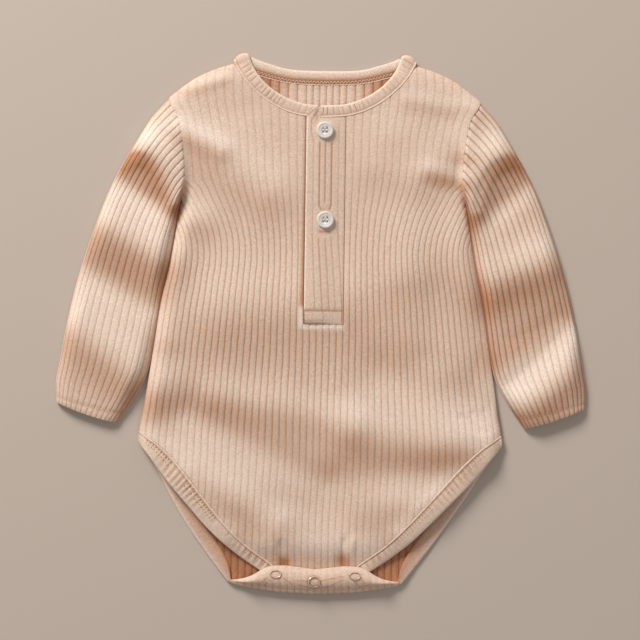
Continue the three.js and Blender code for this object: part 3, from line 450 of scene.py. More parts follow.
def panel(name, columns, keep, outside, inside, profiles):
    """A closed cloth panel. Both sides give points, cloth places and tones for a list of rib places."""
    shape = Shape(name)
    sides = []
    for surface, profile in zip((outside, inside), profiles):
        fine, rise = fine_columns(columns, profile)
        numbers = shape.add(*surface(fine, rise))
        shape.quads(numbers, np.repeat(keep, len(profile), axis=1))
        sides.append((numbers, len(profile)))
    (outer, per_outer), (inner, per_inner) = sides
    kept = np.pad(keep, 1)
    for k, i in zip(*np.nonzero(keep)):
        high = outer[:, i * per_outer : (i + 1) * per_outer + 1]
        low = inner[:, i * per_inner : (i + 1) * per_inner + 1]
        if not kept[k, i + 1]:
            shape.faces.append([*low[k], *high[k, ::-1]])
        if not kept[k + 2, i + 1]:
            shape.faces.append([*low[k + 1], *high[k + 1, ::-1]])
        if not kept[k + 1, i]:
            shape.faces.append([low[k, 0], low[k + 1, 0], high[k + 1, 0], high[k, 0]])
        if not kept[k + 1, i + 2]:
            shape.faces.append([low[k, -1], low[k + 1, -1], high[k + 1, -1], high[k, -1]])
    return shape


def ring_faces(shape, numbers, caps=True):
    """Faces round closed rings of numbers, with flat caps on the first and last ring."""
    shape.quads(np.concatenate([numbers, numbers[:, :1]], axis=1))
    if caps:
        shape.faces.append(numbers[0].tolist())
        shape.faces.append(numbers[-1, ::-1].tolist())


# The ribs wander a little: size, wavelength along and wavelength across of each wave.
WANDER = [(0.1, 61.0, 83.0), (0.08, 27.0, 34.0), (0.05, 11.0, 19.0)]
EDGE_DIP = {"depth": 0.45, "width": 1.8}  # the cloth sinks towards a seam


def wander(x, y):
    return sum(size * np.sin(2 * math.pi * (y / along + x / across)) for size, along, across in WANDER)


def edge_dip(inset):
    return -EDGE_DIP["depth"] * bell(inset, EDGE_DIP["width"])


def row_heights(r, bottom, top, counts):
    """Heights of the rows on each rib line: low rows, middle rows and high rows."""
    low, middle, high = counts
    waist = np.where(np.abs(r) <= RIBS_ARMHOLE, ARMHOLE_WAIST, armhole_y(np.abs(r)))
    blocks = [
        mix(bottom, NOTCH_Y, np.linspace(0, 1, low + 1)[:, None]),
        mix(NOTCH_Y, waist, np.linspace(0, 1, middle + 1)[1:, None]),
        mix(waist, top, np.linspace(0, 1, high + 1)[1:, None]),
    ]
    return np.concatenate([np.broadcast_to(block, (block.shape[0], len(r))) for block in blocks])


FRONT_ROWS = (88, 50, 42)
LEDGE_LINES = [(-14.4, 9, -14.4, -2.2), (-13.5, -3.0, 14.5, -3.2)]  # the raised roll round the placket's foot, painted pale as a highlight
LEDGE = {"width": 1.8, "height": 0.35, "tone": -0.6}
# Painted shade in the pits where the front gathers above the flap.
PIT_SHADE = 1.0
# The groove beside the placket's free edge is wide at its foot and narrow above its height; it gets painted
# shade, deepest at its foot.
NOTCH = {"narrow": 1.3, "wide": 2.9, "height": 110, "depth": 0.5, "tone": 1.35, "tone_top": 0.9}
WANDER_FADE = {"side": 8, "placket": 14, "over": 8}  # no wander at the sides and the placket
# Painted shade on the faces that hardly show, on the inside of the cloth.
HIDDEN_SHADE = {"front": 0.3, "flap": 0.3, "sleeve": 0.5, "placket": 0.4, "under": 0.3}


def front_plan(r):
    bottom = meet(r, leg_front_y, -120.0)
    top = np.where(np.abs(r) > RIBS_ARMHOLE, 0, meet(r, front_top, 150.0))
    y = row_heights(r, bottom, top, FRONT_ROWS)
    return soft_rib_x(r[None, :], y), y


def placket_notch(x, y):
    """Strength and painted shade of the groove beside the placket."""
    up = ramp(y / NOTCH["height"])
    beside = np.where(x < 0, np.maximum(0, PLACKET["left"] - x), FAR)
    strength = bell(beside, mix(NOTCH["wide"], NOTCH["narrow"], up)) * fade(y, -2, 18)
    return strength, mix(NOTCH["tone"], NOTCH["tone_top"], up)


def front_outside(r, rise):
    x, y = front_plan(r)
    from_side = np.clip((body_half(y) - np.abs(x)) / WANDER_FADE["side"], 0, 1)
    from_placket = ramp((np.abs(x) - WANDER_FADE["placket"]) / WANDER_FADE["over"])
    x = x + wander(x, y) * from_side * from_placket
    inset = body_inset(x, y)
    groove = (1 - rise[None, :]) * rib_strength(y)
    notch, notch_shade = placket_notch(x, y)
    dip = RIB * groove + NOTCH["depth"] * notch
    # The tone is painted shade in the grooves and in the groove beside the placket, and painted shade and
    # light on the folds' slopes; below come a painted highlight on the roll and painted shade in the pits.
    tone = np.maximum(groove, notch_shade * notch) + painted_slope_shade(x, y)
    for ends in LEDGE_LINES:
        near = bell(away_from(x, y, *ends), LEDGE["width"])
        dip -= LEDGE["height"] * near
        tone = mix(tone, LEDGE["tone"], near)
    for at_x, at_y, half_x, half_y, depth in PITS:
        pit = np.exp(-(((x - at_x) / half_x) ** 2) - ((y - at_y) / half_y) ** 2)
        dip += depth * pit
        tone += PIT_SHADE * pit
    z = layer_height(x, y, inset) + WALL + RIB + edge_dip(inset) - dip
    return np.stack([x, y, z], -1), np.stack([r[None, :] * RIB_PITCH + 0 * y, y], -1), tone


def front_inside(r, rise):
    x, y = front_plan(r)
    return np.stack([x, y, body_height(x, y)], -1), np.stack([x, y], -1), HIDDEN_SHADE["front"]


def front_body():
    columns = np.arange(-RIBS_SIDE, RIBS_SIDE + 1)
    middle = np.abs(columns[:-1] + 0.5)[None, :]
    low, waist, high = FRONT_ROWS
    row = np.arange(low + waist + high)[:, None]
    keep = ((middle > RIBS_PLACKET) | (row < low)) & ((middle < RIBS_ARMHOLE) | (row < low + waist))
    return panel("front_cloth", columns, keep, front_outside, front_inside, (FINE_RIB, NO_RIB))


def flap_fold(x):
    """The flap's fold: radius, height of its centre, height of the flap's end and its arch."""
    across = np.abs(x)
    taper = fade(across, FLAP["tight"], FLAP["half"])
    radius = mix(FLAP["radius"], FLAP["end_radius"], taper)
    centre = flap_foot_y(across) + radius
    end = np.maximum(flap_top_y(across), centre + FLAP["shortest"])
    return radius, centre, end, FLAP["arch"] * (1 - taper)


def flap_arch(share):
    return np.sin(math.pi * np.clip(share, 0, 1) ** FLAP["skew"])


FLAP_ROWS = {"fold": 12, "flat": 22}
BACK_ROWS = (26, 16, 22)
BACK_RIB = 0.4


def flap_points(r, outward):
    """Rows from the flap's end, over its fold, to the back."""
    x = rib_x(r, FLAP["ribs_at"])[None, :]
    radius, centre, end, arch = flap_fold(x)
    reach = radius - WALL + outward
    share = np.linspace(1, 0, FLAP_ROWS["flat"] + 1)[:-1, None]
    flat = np.stack([x + 0 * share, mix(centre, end, share), radius + reach + arch * flap_arch(share)], -1)
    turn = np.linspace(math.pi, 0, FLAP_ROWS["fold"] + 1)[:-1, None]
    low = np.maximum(0, radius - reach * np.cos(turn))
    fold = np.stack([x + 0 * turn, centre - reach * np.sin(turn), low], -1)
    return np.concatenate([flat, fold])


# Seam lines in the flap: x and y of both ends.
FLAP_LINES = [
    (-32.7, -177.7, -40.4, -184.8), (-30.6, -179, -36.9, -186.2), (-22.9, -177.5, -15.2, -183),
    (32.4, -178.2, 37, -183.7), (28.2, -180.3, 31.7, -184.5), (-13.8, -180.2, -5, -180.3),
    (3.7, -180.2, 19.8, -176.9), (-11.7, -183.1, -1.2, -185.6), (-1.2, -185.6, 10.7, -184.1),
    (10.7, -184.1, 19.8, -179.1),
]
FLAP_TONE = {
    "plain": 0.12, "rib": 0.5, "rib_end": 0.25, "rib_over": 1.4, "line": 0.9, "width": 0.45,
    "rim": -1.0, "rim_share": 0.13, "ring_width": 0.8,
}
# Painted shade round each snap ring.
RING_SHADE = {"snap_right": 0.45, "snap_middle": 1.0, "snap_left": 0.45}


def flap_tone(points, rise):
    """Faint ribs with painted shade, strongest towards the fold, dark seam lines, painted shade round the
    snap rings and a painted highlight on the rolled end.
    """
    rows, flat = len(points), FLAP_ROWS["flat"]
    share = np.concatenate([np.linspace(1, 0, flat + 1)[:-1], np.zeros(rows - flat)])[:, None]
    towards_end = mix(1, FLAP_TONE["rib_end"], ramp(share * FLAP_TONE["rib_over"]))
    tone = FLAP_TONE["plain"] + FLAP_TONE["rib"] * (1 - rise[None, :]) * towards_end
    tone = tone + FLAP_TONE["rim"] * bell(1 - share, FLAP_TONE["rim_share"])
    for ends in FLAP_LINES:
        near = bell(away_from(points[..., 0], points[..., 1], *ends), FLAP_TONE["width"])
        tone = np.maximum(tone, FLAP_TONE["line"] * near * (share > 0))
    for node, (x, y, squash) in SNAPS.items():
        away = np.hypot(points[..., 0] - x, (points[..., 1] - y) / squash) - SNAP_RING["radius"]
        tone = tone + RING_SHADE[node] * bell(away, FLAP_TONE["ring_width"]) * (share > 0)
    return tone


def back_plan(r):
    flap_x = rib_x(r, FLAP["ribs_at"])
    on_flap = np.abs(r) <= RIBS_FLAP
    bottom = np.where(on_flap, flap_fold(flap_x)[1], meet(r, leg_back_y, -120.0))
    top = np.where(np.abs(r) > RIBS_ARMHOLE, 0, meet(r, back_top, 150.0))
    y = row_heights(r, bottom, top, BACK_ROWS)
    x = rib_x(r[None, :], y)
    x[0] = np.where(on_flap, flap_x, x[0])
    return x, y


def back_side(r, z, flap_outward, tone, shade_flap):
    x, y = back_plan(r)
    flap = flap_points(r, flap_outward)
    points = np.concatenate([flap, np.stack([x, y, z + 0 * y], -1)])
    tones = np.concatenate([shade_flap(flap), tone(x, y)])
    cloth = np.stack([np.broadcast_to(r * RIB_PITCH, tones.shape), points[..., 1]], -1)
    return points, cloth, tones


# Painted shade on the inside of the back, seen through the neck and leg openings.
INNER_SHADE = {"middle": -0.25, "shoulder": 0.9, "collar": 0.2, "leg": 0.9, "crotch": 0.25}
INNER_GROOVE_SHADE = {"neck": 1.0, "leg": 0.8}


def inner_painted_shade(x, y, rise):
    """Painted shade inside the openings: pale at the middle of the neck, deeper towards the shoulders and
    deepest at the legs.
    """
    neck = mix(INNER_SHADE["middle"], INNER_SHADE["shoulder"], fade(np.abs(x), 16, 50))
    neck = neck + INNER_SHADE["collar"] * fade(y, 160, 166)
    leg = INNER_SHADE["leg"] + INNER_SHADE["crotch"] * fade(-y, 120, 170)
    below = fade(-y, -60, 0)
    groove = (1 - rise[None, :]) * mix(INNER_GROOVE_SHADE["neck"], INNER_GROOVE_SHADE["leg"], below)
    return np.clip(mix(neck, leg, below) + groove, -1, 2)


def back_outside(r, rise):
    # Painted shade in the grooves of the back's outer face.
    def plain(x, y):
        return (1 - rise[None, :]) + 0 * y

    return back_side(r, 0 * rise, WALL + FLAP["rib"] * rise, plain, lambda flap: flap_tone(flap, rise))


def back_inside(r, rise):
    def inside_shade(x, y):
        return inner_painted_shade(x, y, rise)

    def hidden(flap):
        return HIDDEN_SHADE["flap"] + 0 * flap[..., 0]

    return back_side(r, WALL - BACK_RIB * (1 - rise), 0.0, inside_shade, hidden)


def back_body():
    columns = np.arange(-RIBS_SIDE, RIBS_SIDE + 1)
    middle = np.abs(columns[:-1] + 0.5)[None, :]
    flap = sum(FLAP_ROWS.values())
    low, waist, high = BACK_ROWS
    row = np.arange(flap + low + waist + high)[:, None]
    on_flap = (row < flap) & (middle < RIBS_FLAP)
    keep = on_flap | ((row >= flap) & ((middle < RIBS_ARMHOLE) | (row < flap + low + waist)))
    return panel("back_cloth", columns, keep, back_outside, back_inside, (COARSE_RIB, COARSE_RIB))


sleeve_rows = [(*row[:2], row[2] or float(body_half(row[3])) + SIDE_GAP, row[3]) for row in SLEEVE]
sleeve_path = path(sleeve_rows, 0, 1, 2, 3)
SLEEVE_ROWS = 130
SLEEVE_LENGTH = 222.0
SLEEVE_FLOOR = [0.96, 0.88, 0.77, 0.64, 0.5, 0.36, 0.23, 0.12, 0.04]
HEM_LINE = {"at": 8.0, "apart": 1.6, "width": 0.7, "depth": 0.3, "edge": 1.4}
HEM_ROWS = (HEM_LINE["at"], HEM_LINE["at"] - HEM_LINE["apart"])
SLEEVE_HOLLOW = (0.03, 0.97)  # shares of the width between which a sleeve is hollow
SLEEVE_WANDER = 8
# Strengths of the painted shade in a sleeve's grooves and hem rows and along its inner edge, from the armhole
# to the cuff.
SLEEVE_TONE = {
    "groove": 0.85, "hem": 0.5, "armhole": 1.1, "cuff": 0.5, "fade": 0.35, "inner": 0.88, "rate": 8,
}


def sleeve_plan(s, u):
    """Place on a sleeve and its width there. s runs from armhole to cuff, u from the outer edge in."""
    outer_x, outer_y, inner_x, inner_y = sleeve_path(s)
    x, y = mix(outer_x, inner_x, u), mix(outer_y, inner_y, u)
    arm_y = mix(SLEEVE[0][1], SLEEVE[0][3], u)
    chord = mix(SLEEVE[0][0], float(body_half(SLEEVE[0][3])) + ARMHOLE_GAP, u)
    bow = body_half(arm_y) + ARMHOLE_GAP - chord
    bowed = np.clip(1 - s / ARMHOLE_REACH, 0, 1) ** ARMHOLE_FADE
    cuff = CUFF_BOW * 4 * u * (1 - u) * fade(s, CUFF_FROM, 1)
    return x + bow * bowed, y - cuff, np.hypot(inner_x - outer_x, inner_y - outer_y)


def sleeve_place(rib):
    """Share of the sleeve's width at which a rib line runs: closer together towards the edges."""
    t = np.asarray(rib, float) / RIBS_SLEEVE
    spread = mix(t, (1 - np.cos(math.pi * t)) / 2, SLEEVE_CROWDING)
    return mix(SLEEVE_EDGE, 1 - SLEEVE_EDGE, spread)


def sleeve_ribs(side, s):
    """Strength of a sleeve's ribs: softer towards the cuff and on the wearer's right."""
    return mix(1.18 + 0.17 * side, 0.85 + 0.2 * side, ramp(s / 0.7))


def sleeve_top(side, s, u, rise=1.0):
    """Point on the outer face of a sleeve's upper layer."""
    x, y, width = sleeve_plan(s, u)
    x = x + wander(x, y) * np.clip(SLEEVE_WANDER * np.minimum(u, 1 - u), 0, 1)
    inset = np.minimum(u, 1 - u) * width
    hem = np.zeros_like(s * u)
    to_cuff = (1 - s) * SLEEVE_LENGTH
    for at in HEM_ROWS:
        hem = hem + bell(to_cuff - at, HEM_LINE["width"])
    seam = np.minimum(s * SLEEVE_LENGTH, np.minimum(to_cuff * HEM_LINE["edge"], inset))
    ridge = RIB * rise * sleeve_ribs(side, s)
    z = layer_height(side * x, y, inset) + WALL + ridge + edge_dip(seam) - HEM_LINE["depth"] * hem
    return np.stack([side * x, y, z], -1), hem


def sleeve_across(side, s, shares, height=None):
    """Points across a sleeve at a height. Without one they follow the underside of its upper layer."""
    u = np.asarray(shares, float)[None, :]
    x, y, width = sleeve_plan(s, u)
    z = layer_height(side * x, y, np.minimum(u, 1 - u) * width) if height is None else height + 0 * x
    return np.stack([side * x, y, z], -1)


def sleeve_tone(side, s, ribs, rise, top, hem):
    """Painted shade in the grooves and hem rows, painted shade and light on the folds' slopes and painted
    shade along the inner edge.
    """
    groove = SLEEVE_TONE["groove"] * (1 - rise[None, :]) * sleeve_ribs(side, s)
    edge = np.clip(SLEEVE_TONE["rate"] * (sleeve_place(ribs)[None, :] - SLEEVE_TONE["inner"]), 0, 1)
    shaded = mix(SLEEVE_TONE["armhole"], SLEEVE_TONE["cuff"], ramp(s / SLEEVE_TONE["fade"]))
    shade = painted_slope_shade(top[..., 0], top[..., 1]) + shaded * edge
    return np.maximum(groove, SLEEVE_TONE["hem"] * np.minimum(hem, 1)) + shade


def close_sleeve(shape, outer, inner):
    """Faces between the outer and the inner ring at the armhole and the cuff."""
    per = len(FINE_RIB)
    marks = [0, *range(1, 2 + per * RIBS_SLEEVE, per), *range(2 + per * RIBS_SLEEVE, outer.shape[1])]
    for end in (0, -1):
        for i, mark in enumerate(marks):
            last = i == len(marks) - 1
            chain = [*outer[end, mark:], outer[end, 0]] if last else outer[end, mark : marks[i + 1] + 1]
            shape.faces.append([inner[end, i], inner[end, 0 if last else i + 1], *reversed(list(chain))])


def sleeve(side, name):
    shape = Shape(name)
    s = np.linspace(0, 1, SLEEVE_ROWS + 1)[:, None]
    ribs, rise = fine_columns(np.arange(RIBS_SLEEVE + 1), FINE_RIB)
    top, hem = sleeve_top(side, s, sleeve_place(ribs)[None, :], rise[None, :])
    rim = (WALL + LAYER_BASE) / 2
    floor = np.array([1 - SLEEVE_EDGE, *SLEEVE_FLOOR, SLEEVE_EDGE])
    start, end = sleeve_across(side, s, [0], rim), sleeve_across(side, s, [1], rim)
    outer = np.concatenate([start, top, end, sleeve_across(side, s, floor, 0.0)], axis=1)
    across = np.concatenate([[0], ribs, [RIBS_SLEEVE], np.linspace(RIBS_SLEEVE, 0, len(floor))])
    tone = np.zeros(outer.shape[:2])
    tone[:, 1 : 1 + len(ribs)] = sleeve_tone(side, s, ribs, rise, top, hem)
    cloth = np.stack(np.broadcast_arrays(across[None, :] * RIB_PITCH, s * SLEEVE_LENGTH), -1)
    outer = shape.add(outer, cloth, tone)
    low, high = SLEEVE_HOLLOW
    inside = [
        sleeve_across(side, s, [low], rim),
        sleeve_across(side, s, np.clip(sleeve_place(np.arange(RIBS_SLEEVE + 1)), low, high)),
        sleeve_across(side, s, [high], rim),
        sleeve_across(side, s, np.clip(floor, low, high), WALL),
    ]
    inner = shape.add(np.concatenate(inside, axis=1), (0.0, 0.0), HIDDEN_SHADE["sleeve"])
    ring_faces(shape, outer, caps=False)
    ring_faces(shape, inner, caps=False)
    close_sleeve(shape, outer, inner)
    return shape


# A binding's section: share of its width from seam to edge, share of its thickness, and tone.
# The seam side has a narrow cord with a dip beside it; the tone paints shade in the dip, at the seam and
# underneath, and highlights on the cord and the rounded edge.
BAND_FACE = [
    (0.0, 0.5, 0.9), (0.02, 0.93, 0.2), (0.055, 1.08, -0.4), (0.1, 1.06, -0.4), (0.14, 0.92, 0.3),
    (0.18, 0.84, 0.5), (0.24, 0.93, 0.1), (0.36, 1.0, 0.0), (0.5, 1.03, 0.0), (0.64, 1.03, 0.0),
    (0.78, 1.0, 0.0), (0.9, 0.93, -0.2), (0.97, 0.76, -0.3), (1.0, 0.45, 0.1),
]
BAND_BACK = [(0.97, 0.1, 0.2), (0.8, 0.0, 0.2), (0.5, 0.0, 0.2), (0.2, 0.0, 0.2), (0.03, 0.1, 0.4)]
# The same on the inside of the back, where the binding's inner face shows: it is smooth, with painted
# highlights on its roll and on the cord and painted shade towards the seam.
INNER_FACE = [
    (1.0, 0.55, 0.0), (0.97, 0.2, -0.3), (0.9, 0.03, -0.5), (0.75, 0.0, -0.3), (0.5, 0.0, 0.3),
    (0.36, 0.08, 1.0), (0.26, 0.17, 1.5), (0.18, 0.26, 1.5), (0.11, 0.3, 1.3), (0.05, 0.33, -0.3),
    (0.0, 0.45, 0.6),
]
# The back leg binding's inner face: a painted highlight near its edge and painted shade deepening towards the
# seam.
LEG_INNER_FACE = [
    (1.0, 0.55, 0.2), (0.97, 0.2, -0.4), (0.9, 0.03, -0.1), (0.75, 0.0, 0.3), (0.5, 0.0, 0.5),
    (0.3, 0.02, 0.6), (0.18, 0.02, 0.7), (0.08, 0.02, 0.8), (0.0, 0.3, 1.2),
]
INNER_BACK = [(0.05, 1.0, 0.2), (0.35, 1.0, 0.2), (0.65, 1.0, 0.2), (0.95, 1.0, 0.2)]


class Route:
    """Where a binding lies: seam and edge points, their heights and the way its outer face looks."""

    def __init__(self, seam, edge, outward):
        self.seam, self.edge, self.outward = seam, edge, outward
        self.along = lengths((seam + edge) / 2)

    def __add__(self, other):
        parts = [(getattr(self, n), getattr(other, n)) for n in ("seam", "edge", "outward")]
        return Route(*(np.concatenate(pair) for pair in parts))

    def reversed(self):
        return Route(self.seam[::-1], self.edge[::-1], self.outward[::-1])

    def place(self, station, width, height):
        """Points at stations, shares of the width and heights over the seam face."""
        flat = mix(self.seam[station], self.edge[station], width[..., None])
        return flat + self.outward[station] * height[..., None]


UP = np.array([0.0, 0.0, 1.0])
BAND_WIDTH = 9  # the knit's grain is laid over this width of a binding


def band_plan(table, side, x_from, x_to, spacing):
    """Seam and edge of a binding at even steps along it."""
    fine = np.linspace(x_from, x_to, 600)
    columns = [curve(table, 0, c) for c in (1, 2, 3)]

    def middle(x):
        y, edge_x, edge_y = (column(x) for column in columns)
        return np.stack([(x + edge_x) / 2, (y + edge_y) / 2], -1)

    length = lengths(middle(fine))
    steps = max(2, int(round(length[-1] / spacing)))
    x = np.interp(np.linspace(0, length[-1], steps + 1), length, fine)
    y, edge_x, edge_y = (column(x) for column in columns)
    zero = np.zeros_like(x)
    seam, edge = np.stack([side * x, y, zero], -1), np.stack([side * edge_x, edge_y, zero], -1)
    along = edge - seam
    return seam - SEAM_LAP * along / np.linalg.norm(along, axis=1)[:, None], edge


def front_route(seam, edge):
    for points in (seam, edge):
        least = np.where(seam[:, 1] < PRESSED["none"], LAYER_BASE, BAND_BASE)
        points[:, 2] = np.maximum(least, body_height(points[:, 0], points[:, 1]))
    return Route(seam, edge, np.broadcast_to(UP, seam.shape))


def back_route(seam, edge):
    for points in (seam, edge):
        points[:, 2] = BAND
    return Route(seam, edge, np.broadcast_to(-UP, seam.shape))


def turn_route(side, angles):
    """The neck binding's turn at a shoulder: angle 0 is the back's and PI is the front's."""
    seam_x, seam_y, edge_x, edge_y = NECK_FRONT[-1]
    seam, edge = np.array([side * seam_x, seam_y, 0.0]), np.array([side * edge_x, edge_y, 0.0])
    along = (edge - seam) / np.linalg.norm(edge - seam)
    away = np.array([side * abs(along[1]), abs(along[0]), 0.0])
    outward = np.sin(angles)[:, None] * away - np.cos(angles)[:, None] * UP
    centre = UP * (BAND + SEAM_GAP / 2)
    shift = centre + outward * SEAM_GAP / 2
    return Route(seam + SEAM_GAP * along + shift, edge + shift, outward)


def band(name, route, faces, relief=None):
    """A binding along a route. Each face is a section, and relief adds height and tone to the first."""
    shape = Shape(name)
    section = np.array([*faces[0], *faces[1]])
    station = np.arange(len(route.along))[:, None]
    size = (len(station), len(section))
    width, height, tone = (np.broadcast_to(section[:, c], size).copy() for c in range(3))
    if relief is not None:
        shown = slice(0, len(faces[0]))
        rise, shade = relief(route, route.along[:, None], width[:, shown])
        height[:, shown] += rise / BAND
        tone[:, shown] += shade
    points = route.place(station, width, height * BAND)
    points[..., 2] = np.maximum(points[..., 2], 0)
    cloth = np.stack(np.broadcast_arrays(route.along[:, None], width * BAND_WIDTH), -1)
    ring_faces(shape, shape.add(points, cloth, tone))
    return shape


NECK_RIB = {"pitch": 3.5, "height": 0.16, "from": 0.2, "to": 0.88, "soft": 0.1, "tone": 1.1}
# Waves along the neck binding that shift its ribs: size and length. Then ones in the ribs' strength.
NECK_SHIFT = [(0.9, 5.3), (0.5, 2.1)]
NECK_PATCH = {"mean": 0.6, "least": 0.15, "waves": [(0.3, 11.0, 0), (0.25, 4.1, 1)]}
LEG_RIB = {"pitch": 4.4, "height": 0.24, "tone": 0.5, "slant": 2}
LEG_SHIFT = (1.1, 7.7)
LEG_PATCH = {"mean": 0.5, "size": 0.7, "length": 13.0}
PLAIN_WAVE = {"height": 0.05, "length": 9.0, "slant": 3}


def neck_relief(route, along, width):
    """Fine ribs across the neck binding, strongest at its shoulders, with painted shade in their dips."""
    shifted = along
    for size, length in NECK_SHIFT:
        shifted = shifted + size * np.sin(along / length)
    wave = np.sin(2 * math.pi * shifted / NECK_RIB["pitch"])
    wave = 1 - 2 * np.clip(0.5 - 0.5 * wave, 0, 1) ** 4
    soft = NECK_RIB["soft"]
    across = ramp((width - NECK_RIB["from"]) / soft) * ramp((NECK_RIB["to"] - width) / soft)
    uneven = NECK_PATCH["mean"]
    for size, length, start in NECK_PATCH["waves"]:
        uneven = uneven + size * np.sin(along / length + start)
    strength = np.clip(uneven, NECK_PATCH["least"], 1) * across
    return NECK_RIB["height"] * wave * strength, NECK_RIB["tone"] * np.clip(-wave, 0, 1) * strength


def leg_relief(route, along, width):
    """Soft uneven puckers across a leg binding, with painted shade in their dips."""
    size, length = LEG_SHIFT
    shifted = along + size * np.sin(along / length)
    wave = np.sin(2 * math.pi * shifted / LEG_RIB["pitch"] + LEG_RIB["slant"] * width)
    swell = np.sin(math.pi * np.clip(width, 0, 1))
    patch = LEG_PATCH["mean"] + LEG_PATCH["size"] * np.sin(along / LEG_PATCH["length"])
    patchy = np.clip(patch, 0, 1) * swell
    return LEG_RIB["height"] * wave * patchy, LEG_RIB["tone"] * np.clip(-wave, 0, 1) * patchy


def plain_relief(route, along, width):
    wave = np.sin(along / PLAIN_WAVE["length"] + PLAIN_WAVE["slant"] * width)
    return PLAIN_WAVE["height"] * wave, 0.0


BAND_STEP = 0.6
PLACKET_START_X = -3.8
EAR_CUT = {"tip": 1.4, "rise": 0.5, "fan": 8}


def front_neck_route(side):
    """From the shoulder to the placket. The wearer's right side ends at a slant beside its corner."""
    start = abs(PLACKET_START_X) if side > 0 else abs(PLACKET["left"]) + SEAM_GAP
    seam, edge = band_plan(NECK_FRONT, side, CORNER_X, start, BAND_STEP)
    if side > 0:
        more_seam, more_edge = band_plan(NECK_FRONT, 1, 0.2, abs(PLACKET_START_X), BAND_STEP)
        flip = np.array([-1.0, 1.0, 1.0])
        middle_seam, middle_edge = band_plan(NECK_FRONT, 1, abs(PLACKET_START_X), 0.2, BAND_STEP)
        seam = np.concatenate([seam, middle_seam[1:], more_seam[:-1] * flip])
        edge = np.concatenate([edge, middle_edge[1:], more_edge[:-1] * flip])
        return front_route(seam, edge)
    cut = np.array([EAR[-1][0] - EAR_CUT["tip"], EAR[-1][1] + EAR_CUT["rise"], 0.0])
    share = np.linspace(0, 1, EAR_CUT["fan"] + 1)[1:, None]
    seam = np.concatenate([seam, np.repeat(seam[-1:], EAR_CUT["fan"], axis=0)])
    edge = np.concatenate([edge, mix(edge[-1:], cut[None, :], share)])
    return front_route(seam, edge)


def neck_bands():
    turn = np.linspace(math.pi, 0, 9)
    left = front_neck_route(1).reversed() + turn_route(1, turn[1:])
    right = front_neck_route(-1).reversed() + turn_route(-1, turn[1:])
    halves = []
    for side in (1, -1):
        seam, edge = band_plan(NECK_BACK, side, CORNER_X, 0.0, BAND_STEP)
        halves.append(back_route(seam, edge))
    back = halves[0] + halves[1].reversed()
    return left, back, right


TURN_SWELL = 2.2  # how far the binding's turn bulges at a shoulder


def neck_band():
    """The whole neck binding as one closed strip: left front, over the shoulder, back, right front."""
    left, back, right = neck_bands()
    shape = Shape("neck_cloth")
    route = left + back + right.reversed()
    station = np.arange(len(route.along))[:, None]
    on_back = np.zeros(len(route.along))
    on_back[len(left.along) : len(left.along) + len(back.along)] = 1
    blur = np.ones(9) / 9
    on_back = np.convolve(np.pad(on_back, 4, mode="edge"), blur, mode="valid")[:, None]
    outer = np.array([*BAND_FACE, *BAND_BACK])
    inner = resample_ring(np.array([*INNER_BACK, *INNER_FACE]), len(outer))
    width, height, tone = (mix(outer[None, :, c], inner[None, :, c], on_back) for c in range(3))
    rise, shade = neck_relief(route, route.along[:, None], width)
    face = (height > 0.7) * (1 - on_back)
    points = route.place(station, width, height * BAND + rise * face)
    swell = TURN_SWELL * np.sin(math.pi * np.clip(width, 0, 1))[..., None]
    points[..., :2] += swell * route.outward[:, None, :2]
    points[..., 2] = np.maximum(points[..., 2], 0)
    cloth = np.stack(np.broadcast_arrays(route.along[:, None], width * BAND_WIDTH), -1)
    ring_faces(shape, shape.add(points, cloth, tone + shade * face))
    return shape


def resample_ring(rows, count):
    """A ring of section rows with another number of points, at even steps of row number."""
    at = np.linspace(0, len(rows) - 1, count)
    return np.stack([np.interp(at, np.arange(len(rows)), rows[:, c]) for c in range(3)], -1)


def leg_front_route(side):
    first = float(rib_x(np.array([RIBS_PLACKET + 1.0]), np.array([-184.0]))[0])
    return front_route(*band_plan(LEG_FRONT, side, first, 126.9, BAND_STEP))


BACK_END_LIFT = {"from": 72.0, "to": 60.0, "height": 0.9}


def leg_back_route(side):
    route = back_route(*band_plan([*LEG_BACK, LEG_BACK_END], side, 53.0, 126.9, BAND_STEP))
    for points in (route.seam, route.edge):
        share = fade(np.abs(points[:, 0]), BACK_END_LIFT["from"], BACK_END_LIFT["to"])
        points[:, 2] += BACK_END_LIFT["height"] * share
    return route


